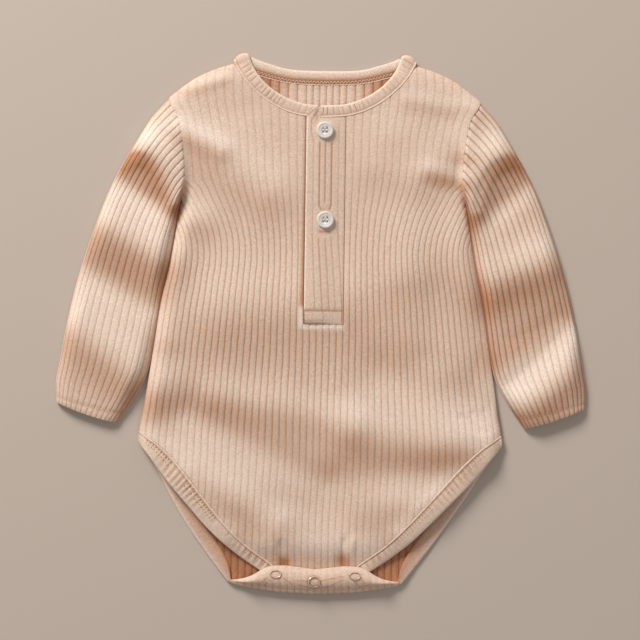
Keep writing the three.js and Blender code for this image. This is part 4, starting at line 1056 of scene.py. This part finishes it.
# Lines in the placket: x and y of both ends, width, depth and darkness, which is painted shade in the sewn
# groove.
PLACKET_LINES = [
    (-7.2, 126, -7.2, 64, 0.5, 0.16, 0.35), (-2.8, 126, -2.8, 82, 0.55, 0.4, 0.9),
    (1.2, 126, 1.2, 84, 0.5, 0.35, 0.8), (5.6, 126, 5.6, 82, 0.55, 0.4, 0.9),
    (10.5, 140, 10.5, 66, 0.5, 0.16, 0.35), (-2.8, 82, -1.6, 79.2, 0.55, 0.35, 0.9),
    (-1.6, 79.2, 4.4, 79.0, 0.55, 0.35, 0.6), (4.4, 79, 5.6, 82, 0.55, 0.35, 0.9),
    (-2.2, 63.7, 4.8, 63.5, 1.0, 0.3, 0.8), (-7.2, 62, -4.8, 9.6, 0.5, 0.25, 0.55),
    (-2.9, 58, 0.4, 9.6, 0.5, 0.3, 0.7), (1.8, 58, 5.2, 9.6, 0.5, 0.25, 0.6),
    (6.0, 60, 9.6, 9.6, 0.5, 0.2, 0.45), (10.6, 66, 14.2, 9.6, 0.5, 0.25, 0.55),
    (-7.2, 126, -8.9, 134, 0.5, 0.2, 0.5), (-8.9, 134, -8.6, 142, 0.5, 0.25, 0.6),
    (-8.6, 142, -4.4, 148.4, 0.5, 0.25, 0.6), (-12.0, 8.3, 14.3, 8.3, 0.55, 0.6, 1.2),
    (-11.9, 8.0, -11.9, 0.2, 0.45, 0.3, 0.6), (14.2, 8.0, 14.2, 0.2, 0.45, 0.3, 0.6),
    (1.2, 7.4, 1.2, 0.2, 0.4, 0.2, 0.4), (-6.4, 7.4, -6.4, 0.2, 0.4, 0.12, 0.2),
    (7.6, 7.4, 7.6, 0.2, 0.4, 0.12, 0.2),
]
PLACKET_WALL = WALL + 0.1
PLACKET_CLEAR = 0.2
LIFT = {"from": -6.0, "foot": 0.35, "climb": 2.4}  # how the placket rises from its right side and foot
# The corner above the placket sinks to the binding beside it.
EAR_SETTLE = {"share": 0.85, "height": 7, "left": 8, "over": 5}
PLACKET_SWELL = 0.25
PLACKET_ROWS = {"strip": 110, "corner": 8}
# The placket's edges sink softly, with a painted highlight on its free left edge and painted shade along its
# right edge.
EDGE_SOFT = {"width": 0.7, "depth": 0.55, "light": 0.7, "right": 0.4, "dark": 0.35}
PLACKET_COLUMNS = {"corner": 24, "strip": 42}
UNDER = {"columns": 15, "rows": 60, "above_box": 1.5, "rib": 0.1}


def placket_lift(x, y):
    across = 1 - fade(x, LIFT["from"], PLACKET["right"])
    climb = mix(LIFT["foot"], 1, ramp((y - PLACKET["foot"]) / LIFT["climb"]))
    up = ramp((y - PLACKET["top"] + EAR_SETTLE["height"]) / EAR_SETTLE["height"])
    settle = 1 - EAR_SETTLE["share"] * up * ramp((x + EAR_SETTLE["left"]) / EAR_SETTLE["over"])
    return (LAYER_BASE + PLACKET_CLEAR) * across * climb * settle


def placket_face(x, y, rise):
    """Height of the placket's outer face."""
    return body_height(x, y) + placket_lift(x, y) + PLACKET_WALL + PLACKET_SWELL + rise


def placket_relief(x, y):
    height, tone = np.zeros_like(x), np.zeros_like(x)
    for *ends, width, depth, dark in PLACKET_LINES:
        near = bell(away_from(x, y, *ends), width)
        height -= depth * near
        tone = np.maximum(tone, dark * near)
    edge = bell(x - PLACKET["left"], EDGE_SOFT["width"]) * fade(y, 6, 12)
    right = bell(x - PLACKET["right"], EDGE_SOFT["width"])
    height -= EDGE_SOFT["depth"] * (edge + EDGE_SOFT["right"] * right)
    return height, tone + EDGE_SOFT["dark"] * right - EDGE_SOFT["light"] * edge


def placket_plan(x):
    top = np.where(x > EAR[-1][0], neck_front_y(np.abs(x)) + 0.15, PLACKET["top"])[None, :]
    strip = mix(PLACKET["foot"], top, np.linspace(0, 1, PLACKET_ROWS["strip"] + 1)[:, None])
    corner = mix(PLACKET["top"], ear_y(x)[None, :], np.linspace(0, 1, PLACKET_ROWS["corner"] + 1)[1:, None])
    y = np.concatenate([strip, corner])
    return x[None, :] + 0 * y, y


def placket_outside(columns, _):
    x, y = placket_plan(columns)
    rise, tone = placket_relief(x, y)
    return np.stack([x, y, placket_face(x, y, rise)], -1), np.stack([x, y], -1), tone


def placket_inside(columns, _):
    x, y = placket_plan(columns)
    z = body_height(x, y) + placket_lift(x, y)
    return np.stack([x, y, z], -1), np.stack([x, y], -1), HIDDEN_SHADE["placket"]


def placket_upper():
    tip = EAR[-1][0]
    corner = np.linspace(PLACKET["left"], tip, PLACKET_COLUMNS["corner"])
    strip = np.linspace(tip, PLACKET["right"], PLACKET_COLUMNS["strip"])
    columns = np.concatenate([corner, strip[1:]])
    middle = ((columns[:-1] + columns[1:]) / 2)[None, :]
    row = np.arange(sum(PLACKET_ROWS.values()))[:, None]
    keep = (row < PLACKET_ROWS["strip"]) | (middle < tip)
    return panel("placket_cloth", columns, keep, placket_outside, placket_inside, (NO_RIB, NO_RIB))


def placket_under():
    columns = np.linspace(PLACKET["left"], PLACKET["under"], UNDER["columns"])
    y = np.linspace(PLACKET["box"] + UNDER["above_box"], PLACKET["top"], UNDER["rows"])[:, None]

    def layer(height):
        def side(x, _):
            plan_x, plan_y = x[None, :] + 0 * y, y + 0 * x[None, :]
            ribs = UNDER["rib"] * np.cos(2 * math.pi * plan_x / RIB_PITCH) * (height > 0)
            z = body_height(plan_x, plan_y) + height + ribs
            return np.stack([plan_x, plan_y, z], -1), np.stack([plan_x, plan_y], -1), HIDDEN_SHADE["under"]
        return side

    keep = np.ones((len(y) - 1, len(columns) - 1), bool)
    return panel("placket_under_cloth", columns, keep, layer(WALL), layer(0.0), (NO_RIB, NO_RIB))


# A button's section: radius and height, from the middle of its underside to the middle of its dish.
BUTTON = [
    (0, 0), (4.9, 0), (5.6, 0.18), (5.95, 0.65), (6.0, 1.2), (5.92, 1.65), (5.7, 1.98), (5.35, 2.14),
    (4.95, 2.17), (4.65, 2.13), (4.35, 2.03), (4.05, 1.95), (3.6, 1.9), (0, 1.92),
]
BUTTON_HOLE = {"radius": 0.6, "ring": 1.9, "sides": 20, "reach": 4.0}
BUTTON_SIDES = 64


def lathe(shape, section, centre, sides):
    """Turns a section round a vertical axis. The first and last points are on the axis."""
    angle = np.arange(sides) / sides * 2 * math.pi
    ring = np.stack([np.cos(angle), np.sin(angle)], -1)
    inner = np.array(section[1:-1])
    flat = inner[:, None, :1] * ring[None]
    heights = np.broadcast_to(inner[:, None, 1:], (*flat.shape[:2], 1))
    numbers = shape.add(np.concatenate([flat, heights], -1) + np.array(centre))
    ring_faces(shape, numbers)


def drilled(piece, centre):
    """Cuts the four holes of a button."""
    drill = Shape("drill")
    hole = BUTTON_HOLE["radius"]
    section = [(0, -1), (hole, -1), (hole, BUTTON_HOLE["reach"]), (0, BUTTON_HOLE["reach"])]
    for x, y in button_holes():
        lathe(drill, section, (centre[0] + x, centre[1] + y, centre[2]), BUTTON_HOLE["sides"])
    cutter = drill.build()
    cut = piece.modifiers.new("holes", "BOOLEAN")
    cut.operation, cut.solver, cut.object = "DIFFERENCE", "EXACT", cutter
    bpy.context.view_layer.update()
    mesh = bpy.data.meshes.new_from_object(piece.evaluated_get(bpy.context.evaluated_depsgraph_get()))
    piece.modifiers.clear()
    piece.data = mesh
    bpy.data.objects.remove(cutter)
    return piece


def button_holes():
    ring = BUTTON_HOLE["ring"]
    angles = [math.radians(45 + 90 * quarter) for quarter in range(4)]
    return [(ring * math.cos(angle), ring * math.sin(angle)) for angle in angles]


BUTTON_SINK = 0.95  # how far a button is pressed into the placket
THREAD = {"height": 1.94, "apart": 0.2, "radius": 0.15, "tone": -0.8}


def button(node):
    x, y = BUTTONS[node]
    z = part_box(node)[0].z / MM - BUTTON_SINK
    shape = Shape(node + "_disc")
    lathe(shape, BUTTON, (x, y, z), BUTTON_SIDES)
    return drilled(shape.build(sharp=40), (x, y, z))


def button_thread(node):
    """Two pairs of strands between the holes."""
    x, y = BUTTONS[node]
    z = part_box(node)[0].z / MM - BUTTON_SINK + THREAD["height"]
    holes = [np.array([x + hx, y + hy, z]) for hx, hy in button_holes()]
    pairs = [(holes[0], holes[1]), (holes[3], holes[2])]
    offsets = [(0, THREAD["apart"], 0), (0, -THREAD["apart"], 0)]
    starts = np.array([start + offset for start, _ in pairs for offset in offsets])
    ends = np.array([end + offset for _, end in pairs for offset in offsets])
    shape = Shape(node + "_thread")
    capsules(shape, starts, ends, THREAD["radius"], THREAD["tone"])
    return shape.build()


SNAP_RING = {"radius": 3.9, "tube": 0.34, "sides": 56, "tube_sides": 10}


def flap_top_height(x, y):
    radius, centre, end, arch = flap_fold(x)
    return 2 * radius + arch * flap_arch((y - centre) / (end - centre))


def snap_ring(node):
    x, y, squash = SNAPS[node]
    angle = (np.arange(SNAP_RING["sides"] + 1) / SNAP_RING["sides"] * 2 * math.pi)[:, None]
    turn = (np.arange(SNAP_RING["tube_sides"]) / SNAP_RING["tube_sides"] * 2 * math.pi)[None, :]
    radius = SNAP_RING["radius"] + SNAP_RING["tube"] * np.cos(turn)
    px, py = x + radius * np.cos(angle), y + radius * squash * np.sin(angle)
    z = flap_top_height(px, py) + FLAP["rib"] + RING_LIFT[node] + SNAP_RING["tube"] * np.sin(turn)
    shape = Shape(node + "_ring")
    numbers = shape.add(np.stack([px, py, z], -1)[:-1])
    closed = np.concatenate([numbers, numbers[:1]])
    shape.quads(np.concatenate([closed, closed[:, :1]], axis=1))
    return shape.build()


STITCH_RINGS = [(0.0, 0.3), (0.15, 0.85), (0.5, 1.0), (0.85, 0.85), (1.0, 0.3)]
STITCH_SIDES = 6


def capsules(shape, starts, ends, radius, tone):
    """Many short threads with round ends, each between two points."""
    run = ends - starts
    along = run / np.linalg.norm(run, axis=1)[:, None]
    side = np.cross(along, UP)
    side /= np.linalg.norm(side, axis=1)[:, None]
    rise = np.cross(side, along)
    angle = np.arange(STITCH_SIDES) / STITCH_SIDES * 2 * math.pi
    share = np.array([t for t, _ in STITCH_RINGS])[None, :, None, None]
    size = np.array([r for _, r in STITCH_RINGS])[None, :, None, None] * radius
    round_it = (
        np.cos(angle)[None, None, :, None] * side[:, None, None, :]
        + np.sin(angle)[None, None, :, None] * rise[:, None, None, :]
    )
    points = starts[:, None, None, :] + share * run[:, None, None, :] + size * round_it
    for numbers in shape.add(points, (0.0, 0.0), tone):
        ring_faces(shape, numbers)


STITCH_SHARE = 0.7


def stitch_ends(line, pitch):
    """Starts and ends of the stitches along a dense line of points."""
    length = lengths(line)
    count = max(1, int(length[-1] / pitch))
    begin = np.arange(count) * length[-1] / count

    def at(distance):
        return np.stack([np.interp(distance, length, line[:, c]) for c in range(3)], -1)

    return at(begin), at(begin + STITCH_SHARE * length[-1] / count)


# Pitch, radius and tone of each row of stitches.
SEWING = {"cuff": (2.6, 0.16, -0.2), "cord": (2.0, 0.24, -0.8), "box": (2.4, 0.16, -0.3)}
CORD = {"width": 0.03, "height": 0.28}  # where it lies on the binding, as in a section
OVERLOCK = {"radius": 0.3, "tone": 0.0, "width": (0.13, 0.29), "height": (0.3, 0.16)}
TICK = {"radius": 0.22, "tone": 0.9, "height": 1.85, "end": 12, "step": 4, "least": -0.35}
TICK_ROWS = [(0.16, 0.3), (0.37, 0.5)]
BOX_LINES = [
    (-11.2, 7.3, 13.4, 7.3), (-11.2, 0.7, 13.4, 0.7), (-11.2, 7.3, -11.2, 0.7), (13.4, 7.3, 13.4, 0.7),
]


def stitch(shape, line, row):
    pitch, radius, tone = SEWING[row]
    capsules(shape, *stitch_ends(line, pitch), radius, tone)


def cuff_stitches(shape):
    across = np.linspace(*SLEEVE_HOLLOW, 200)[None, :]
    for side in (1, -1):
        for at in HEM_ROWS:
            line = sleeve_top(side, np.array([[1 - at / SLEEVE_LENGTH]]), across)[0][0]
            stitch(shape, line, "cuff")


def box_stitches(shape):
    for x1, y1, x2, y2 in BOX_LINES:
        x, y = np.linspace(x1, x2, 60), np.linspace(y1, y2, 60)
        z = placket_face(x, y, placket_relief(x, y)[0])
        stitch(shape, np.stack([x, y, z], -1), "box")


def neck_cord(shape):
    """The bright row of thread beside the seam inside the back of the neck."""
    back = neck_bands()[1]
    count = len(back.along)
    width, height = np.full(count, CORD["width"]), np.full(count, CORD["height"] * BAND)
    stitch(shape, back.place(np.arange(count), width, height), "cord")


def overlock(shape):
    """Zigzag thread along the seam inside the back of the neck."""
    back = neck_bands()[1]
    station = np.arange(0, len(back.along), 2)
    even = np.arange(len(station)) % 2 == 0
    width, height = np.where(even, *OVERLOCK["width"]), np.where(even, *OVERLOCK["height"])
    line = back.place(station, width, height * BAND)
    capsules(shape, line[:-1], line[1:], OVERLOCK["radius"], OVERLOCK["tone"])


def leg_ticks(shape):
    """Short threads across the front leg bindings, in uneven patches."""
    for side in (1, -1):
        route = leg_front_route(side)
        station = np.arange(TICK["end"], len(route.along) - TICK["end"], TICK["step"])
        patchy = np.sin(route.along[station] / 9.0 + side) + 0.7 * np.sin(route.along[station] / 3.7)
        station = station[patchy > TICK["least"]]
        height = np.full(len(station), TICK["height"])
        for row in TICK_ROWS:
            ends = [route.place(station, np.full(len(station), width), height) for width in row]
            capsules(shape, *ends, TICK["radius"], TICK["tone"])


def sewing(material):
    rows = {
        "cuff_sewing": cuff_stitches, "box_sewing": box_stitches, "neck_cord_sewing": neck_cord,
        "neck_overlock": overlock, "leg_binding_sewing": leg_ticks,
    }
    for name, sew in rows.items():
        shape = Shape(name)
        sew(shape)
        piece = shape.build()
        piece.data.materials.append(material)
        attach(piece, BODY)


def srgb(red, green, blue):
    """Linear colour of an sRGB one given in 255 steps."""
    def linear(value):
        value /= 255
        return value / 12.92 if value <= 0.04045 else ((value + 0.055) / 1.055) ** 2.4
    return (linear(red), linear(green), linear(blue), 1.0)


# The knit's own colour. Then the painted shade of grooves and slopes, deeper painted shade for gaps and
# hollows, and a painted highlight for rolled edges and rising slopes, which also tints the sheen.
PEACH = srgb(226, 199, 179)
PEACH_SHADE = srgb(190, 135, 99)
PEACH_DEEP_SHADE = srgb(150, 88, 58)
PEACH_HIGHLIGHT = srgb(249, 232, 218)


class Nodes:
    """A material's node tree, with its shader."""

    def __init__(self, name):
        self.material = bpy.data.materials.new(name)
        self.material.use_nodes = True
        self.tree = self.material.node_tree
        self.shader = self.tree.nodes["Principled BSDF"]

    def add(self, kind, inputs=(), **settings):
        """A node. Each input is a constant or another node's output."""
        made = self.tree.nodes.new(kind)
        for key, value in settings.items():
            setattr(made, key, value)
        self.fill(made, dict(inputs))
        return made

    def set(self, socket, value):
        if isinstance(value, bpy.types.NodeSocket):
            self.tree.links.new(value, socket)
        else:
            socket.default_value = value

    def fill(self, made, inputs):
        for key, value in inputs.items():
            self.set(made.inputs[key], value)

    def place(self):
        return self.add("ShaderNodeTexCoord").outputs["Object"]

    def math(self, operation, *values):
        return self.add("ShaderNodeMath", enumerate(values), operation=operation).outputs[0]

    def blend(self, factor, first, second, mode="MIX"):
        made = self.tree.nodes.new("ShaderNodeMix")
        made.data_type, made.blend_type = "RGBA", mode
        colours = [socket for socket in made.inputs if socket.type == "RGBA"]
        for socket, value in zip((made.inputs[0], *colours), (factor, first, second)):
            self.set(socket, value)
        return [socket for socket in made.outputs if socket.type == "RGBA"][0]

    def noise(self, vector, scale, detail=2.0):
        inputs = {"Vector": vector, "Scale": scale, "Detail": detail}
        return self.add("ShaderNodeTexNoise", inputs.items()).outputs[0]

    def span(self, value, low, high, to_low=0.0, to_high=1.0):
        inputs = {"Value": value, "From Min": low, "From Max": high, "To Min": to_low, "To Max": to_high}
        return self.add("ShaderNodeMapRange", inputs.items()).outputs[0]


LOOP = {"width": 1.1, "height": 0.85, "slant": 0.5}
# Specks in the knit: scale, and how much the darkest and the palest change its colour.
GRAIN, MOTTLE, CLOUD = (1300.0, 0.85, 1.13), (640.0, 0.93, 1.04), (26.0, 0.98, 1.02)
KNIT_BUMP = {"strength": 0.35, "distance": 0.0003, "loops": 0.35, "grain": 1.2, "mottle": 1.0}


def knit(name):
    """Cotton rib knit, softly heathered, with painted shade in its grooves and hollows and painted highlights
    on turned edges.
    """
    nodes = Nodes(name)
    tone = nodes.add("ShaderNodeAttribute", attribute_name="tone").outputs["Fac"]
    cloth = nodes.add("ShaderNodeAttribute", attribute_name="cloth").outputs["Vector"]
    place = nodes.place()
    split = nodes.add("ShaderNodeSeparateXYZ", {"Vector": cloth}.items())
    across = nodes.math("DIVIDE", split.outputs[0], LOOP["width"])
    leg = nodes.math("ABSOLUTE", nodes.math("SUBTRACT", nodes.math("FRACT", across), 0.5))
    climb = nodes.math("DIVIDE", split.outputs[1], LOOP["height"])
    phase = nodes.math("ADD", climb, nodes.math("MULTIPLY", leg, 2 * LOOP["slant"]))
    loops = nodes.math("SINE", nodes.math("MULTIPLY", phase, 2 * math.pi))
    grain, mottle, cloud = (nodes.noise(place, specks[0]) for specks in (GRAIN, MOTTLE, CLOUD))
    colour = nodes.blend(nodes.span(tone, 0.0, 1.0), PEACH, PEACH_SHADE)
    colour = nodes.blend(nodes.span(tone, 1.0, 2.0), colour, PEACH_DEEP_SHADE)
    colour = nodes.blend(nodes.span(tone, 0.0, -1.0), colour, PEACH_HIGHLIGHT)
    for noise, (_, darkest, palest) in ((mottle, MOTTLE), (grain, GRAIN), (cloud, CLOUD)):
        colour = nodes.blend(1.0, colour, nodes.span(noise, 0.32, 0.68, darkest, palest), "MULTIPLY")
    heights = ((loops, "loops"), (grain, "grain"), (mottle, "mottle"))
    low, middle, high = (nodes.math("MULTIPLY", noise, KNIT_BUMP[part]) for noise, part in heights)
    height = nodes.math("ADD", nodes.math("ADD", low, middle), high)
    bump = {"Strength": KNIT_BUMP["strength"], "Distance": KNIT_BUMP["distance"], "Height": height}
    bumped = nodes.add("ShaderNodeBump", bump.items())
    settings = {
        "Base Color": colour, "Normal": bumped.outputs[0], "Roughness": 0.92, "Specular IOR Level": 0.25,
        "Sheen Weight": 0.18, "Sheen Roughness": 0.45, "Sheen Tint": PEACH_HIGHLIGHT,
    }
    nodes.fill(nodes.shader, settings)
    return nodes.material


def thread(name, colour):
    nodes = Nodes(name)
    place = nodes.place()
    twist = nodes.noise(place, 2600.0, 1.0)
    dim = tuple(0.7 * c for c in colour[:3]) + (1.0,)
    shade = nodes.blend(nodes.span(twist, 0.4, 0.7), colour, dim)
    nodes.fill(nodes.shader, {"Base Color": shade, "Roughness": 0.75, "Sheen Weight": 0.1})
    return nodes.material


def button_plastic():
    nodes = Nodes("button_plastic")
    place = nodes.place()
    cloud = nodes.noise(place, 240.0, 3.0)
    colour = nodes.blend(nodes.span(cloud, 0.35, 0.7), srgb(226, 219, 215), srgb(212, 204, 199))
    fine = nodes.noise(place, 1800.0, 2.0)
    bumped = nodes.add("ShaderNodeBump", {"Strength": 0.08, "Distance": 0.0002, "Height": fine}.items())
    nodes.fill(nodes.shader, {
        "Base Color": colour, "Roughness": 0.45, "Normal": bumped.outputs[0],
        "Subsurface Weight": 0.1, "Subsurface Scale": 0.002,
    })
    return nodes.material


def snap_metal():
    nodes = Nodes("snap_metal")
    place = nodes.place()
    worn = nodes.noise(place, 700.0, 3.0)
    colour = nodes.blend(nodes.span(worn, 0.35, 0.7), srgb(222, 212, 202), srgb(190, 178, 166))
    rough = nodes.span(worn, 0.3, 0.7, 0.28, 0.45)
    nodes.fill(nodes.shader, {"Base Color": colour, "Metallic": 0.5, "Roughness": rough})
    return nodes.material


def floor_material():
    nodes = Nodes("floor")
    nodes.fill(nodes.shader, {"Base Color": srgb(196, 182, 170), "Roughness": 0.9, "Specular IOR Level": 0.2})
    return nodes.material


FLOOR = {"half": 1500.0, "below": 0.2}


def floor():
    shape = Shape("floor")
    edges = [-FLOOR["half"], FLOOR["half"]]
    x, y = np.meshgrid(edges, edges)
    shape.quads(shape.add(np.stack([x, y, 0 * x - FLOOR["below"]], -1)))
    made = shape.build()
    made.data.materials.append(floor_material())


VIEW = {"across": -1.19, "up": 2.84, "turn": 0.8, "width": 448.0, "lens": 85.0, "sensor": 36.0, "level": 5.0}


def camera():
    data = bpy.data.cameras.new("camera")
    data.lens, data.sensor_width = VIEW["lens"], VIEW["sensor"]
    data.clip_start, data.clip_end = 0.01, 20
    made = placed("camera", data)
    away = VIEW["width"] * VIEW["lens"] / VIEW["sensor"] + VIEW["level"]
    made.location = (VIEW["across"] * MM, VIEW["up"] * MM, away * MM)
    made.rotation_euler = (0, 0, math.radians(VIEW["turn"]))
    bpy.context.scene.camera = made


def area_light(name, place, size, power, colour):
    """A round light that points at the garment's middle."""
    data = bpy.data.lights.new(name, "AREA")
    data.shape, data.size, data.energy, data.color = "DISK", size, power, colour
    made = placed(name, data)
    made.location = place
    made.rotation_euler = (-Vector(place)).to_track_quat("-Z", "Y").to_euler()


def lights():
    area_light("window", (-1.2, 2.0, 1.22), 0.95, 80.0, (1.0, 0.975, 0.945))
    area_light("fill", (1.3, -1.2, 2.4), 2.0, 9.0, (1.0, 0.97, 0.95))
    world = bpy.data.worlds.new("studio")
    world.use_nodes = True
    background = world.node_tree.nodes["Background"]
    background.inputs["Color"].default_value = (1.0, 0.97, 0.945, 1.0)
    background.inputs["Strength"].default_value = 0.3
    bpy.context.scene.world = world
    bpy.context.scene.view_settings.view_transform = "Standard"


def finished(piece, node, material):
    """Puts a piece in place of its node."""
    piece.data.materials.clear()
    piece.data.materials.append(material)
    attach(piece, BODY)
    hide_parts(node)
    return piece


# Each leg binding's route, sections, relief, stated cut and the cloth under it.
LEG_BANDS = {
    "front": (leg_front_route, (BAND_FACE, BAND_BACK), leg_relief, (0.155, 0.0102), "front_cloth"),
    "back": (leg_back_route, (LEG_INNER_FACE, INNER_BACK), plain_relief, (0.138, 0.0102), "back_cloth"),
}


def leg_bands(material):
    """Pieces, nodes, materials, stated cuts, areas and the cloth under each."""
    made = []
    for layer, (route, faces, relief, flat, under) in LEG_BANDS.items():
        for side, name in ((1, "left"), (-1, "right")):
            piece = band(f"leg_{layer}_{name}_cloth", route(side), faces, relief).build()
            made.append((piece, f"leg_band_{layer}_{name}", material, flat, None, [under]))
    return made


def cloth_pieces():
    """The cloth. A cut is stated as width and length in metres, with its area where it isn't a rectangle."""
    knits, bindings = knit("rib_knit"), knit("binding_knit")
    # The stated cuts aren't exact: along the cloth the neck binding is 0.280 long and the front 0.366.
    made = [
        (front_body().build(), "front_body", knits, (0.255, 0.335), 0.0655, ["back_cloth"]),
        (back_body().build(), "back_body", knits, (0.255, 0.375), 0.0720, []),
        (sleeve(1, "sleeve_left_cloth").build(), "sleeve_left", knits, (0.17, 0.222), 0.0270, []),
        (sleeve(-1, "sleeve_right_cloth").build(), "sleeve_right", knits, (0.17, 0.222), 0.0270, []),
        (neck_band().build(), "neck_band", bindings, (0.36, 0.0102), None, ["front_cloth"]),
        *leg_bands(bindings),
        (placket_upper().build(), "placket_upper", knits, (0.0274, 0.152), None, ["front_cloth"]),
        (placket_under().build(), "placket_under", knits, (0.0212, 0.133), None, ["back_cloth"]),
    ]
    for piece, node, material, flat, area, under in made:
        finished(piece, node, material)
        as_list(under)


def fasteners():
    plastic, metal, white = button_plastic(), snap_metal(), thread("button_thread", srgb(232, 222, 212))
    for node in BUTTONS:
        finished(button(node), node, plastic)
        strands = button_thread(node)
        strands.data.materials.append(white)
        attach(strands, BODY)
    for node in SNAPS:
        finished(snap_ring(node), node, metal)


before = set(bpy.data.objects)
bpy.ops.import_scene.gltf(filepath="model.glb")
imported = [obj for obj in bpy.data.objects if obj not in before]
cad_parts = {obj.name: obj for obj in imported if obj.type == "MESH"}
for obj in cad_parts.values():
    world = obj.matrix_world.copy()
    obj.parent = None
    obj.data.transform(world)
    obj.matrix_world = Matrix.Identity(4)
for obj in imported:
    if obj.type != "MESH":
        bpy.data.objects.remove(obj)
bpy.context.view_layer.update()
camera()
lights()
floor()
cloth_pieces()
sewing(knit("sewing_thread"))
fasteners()
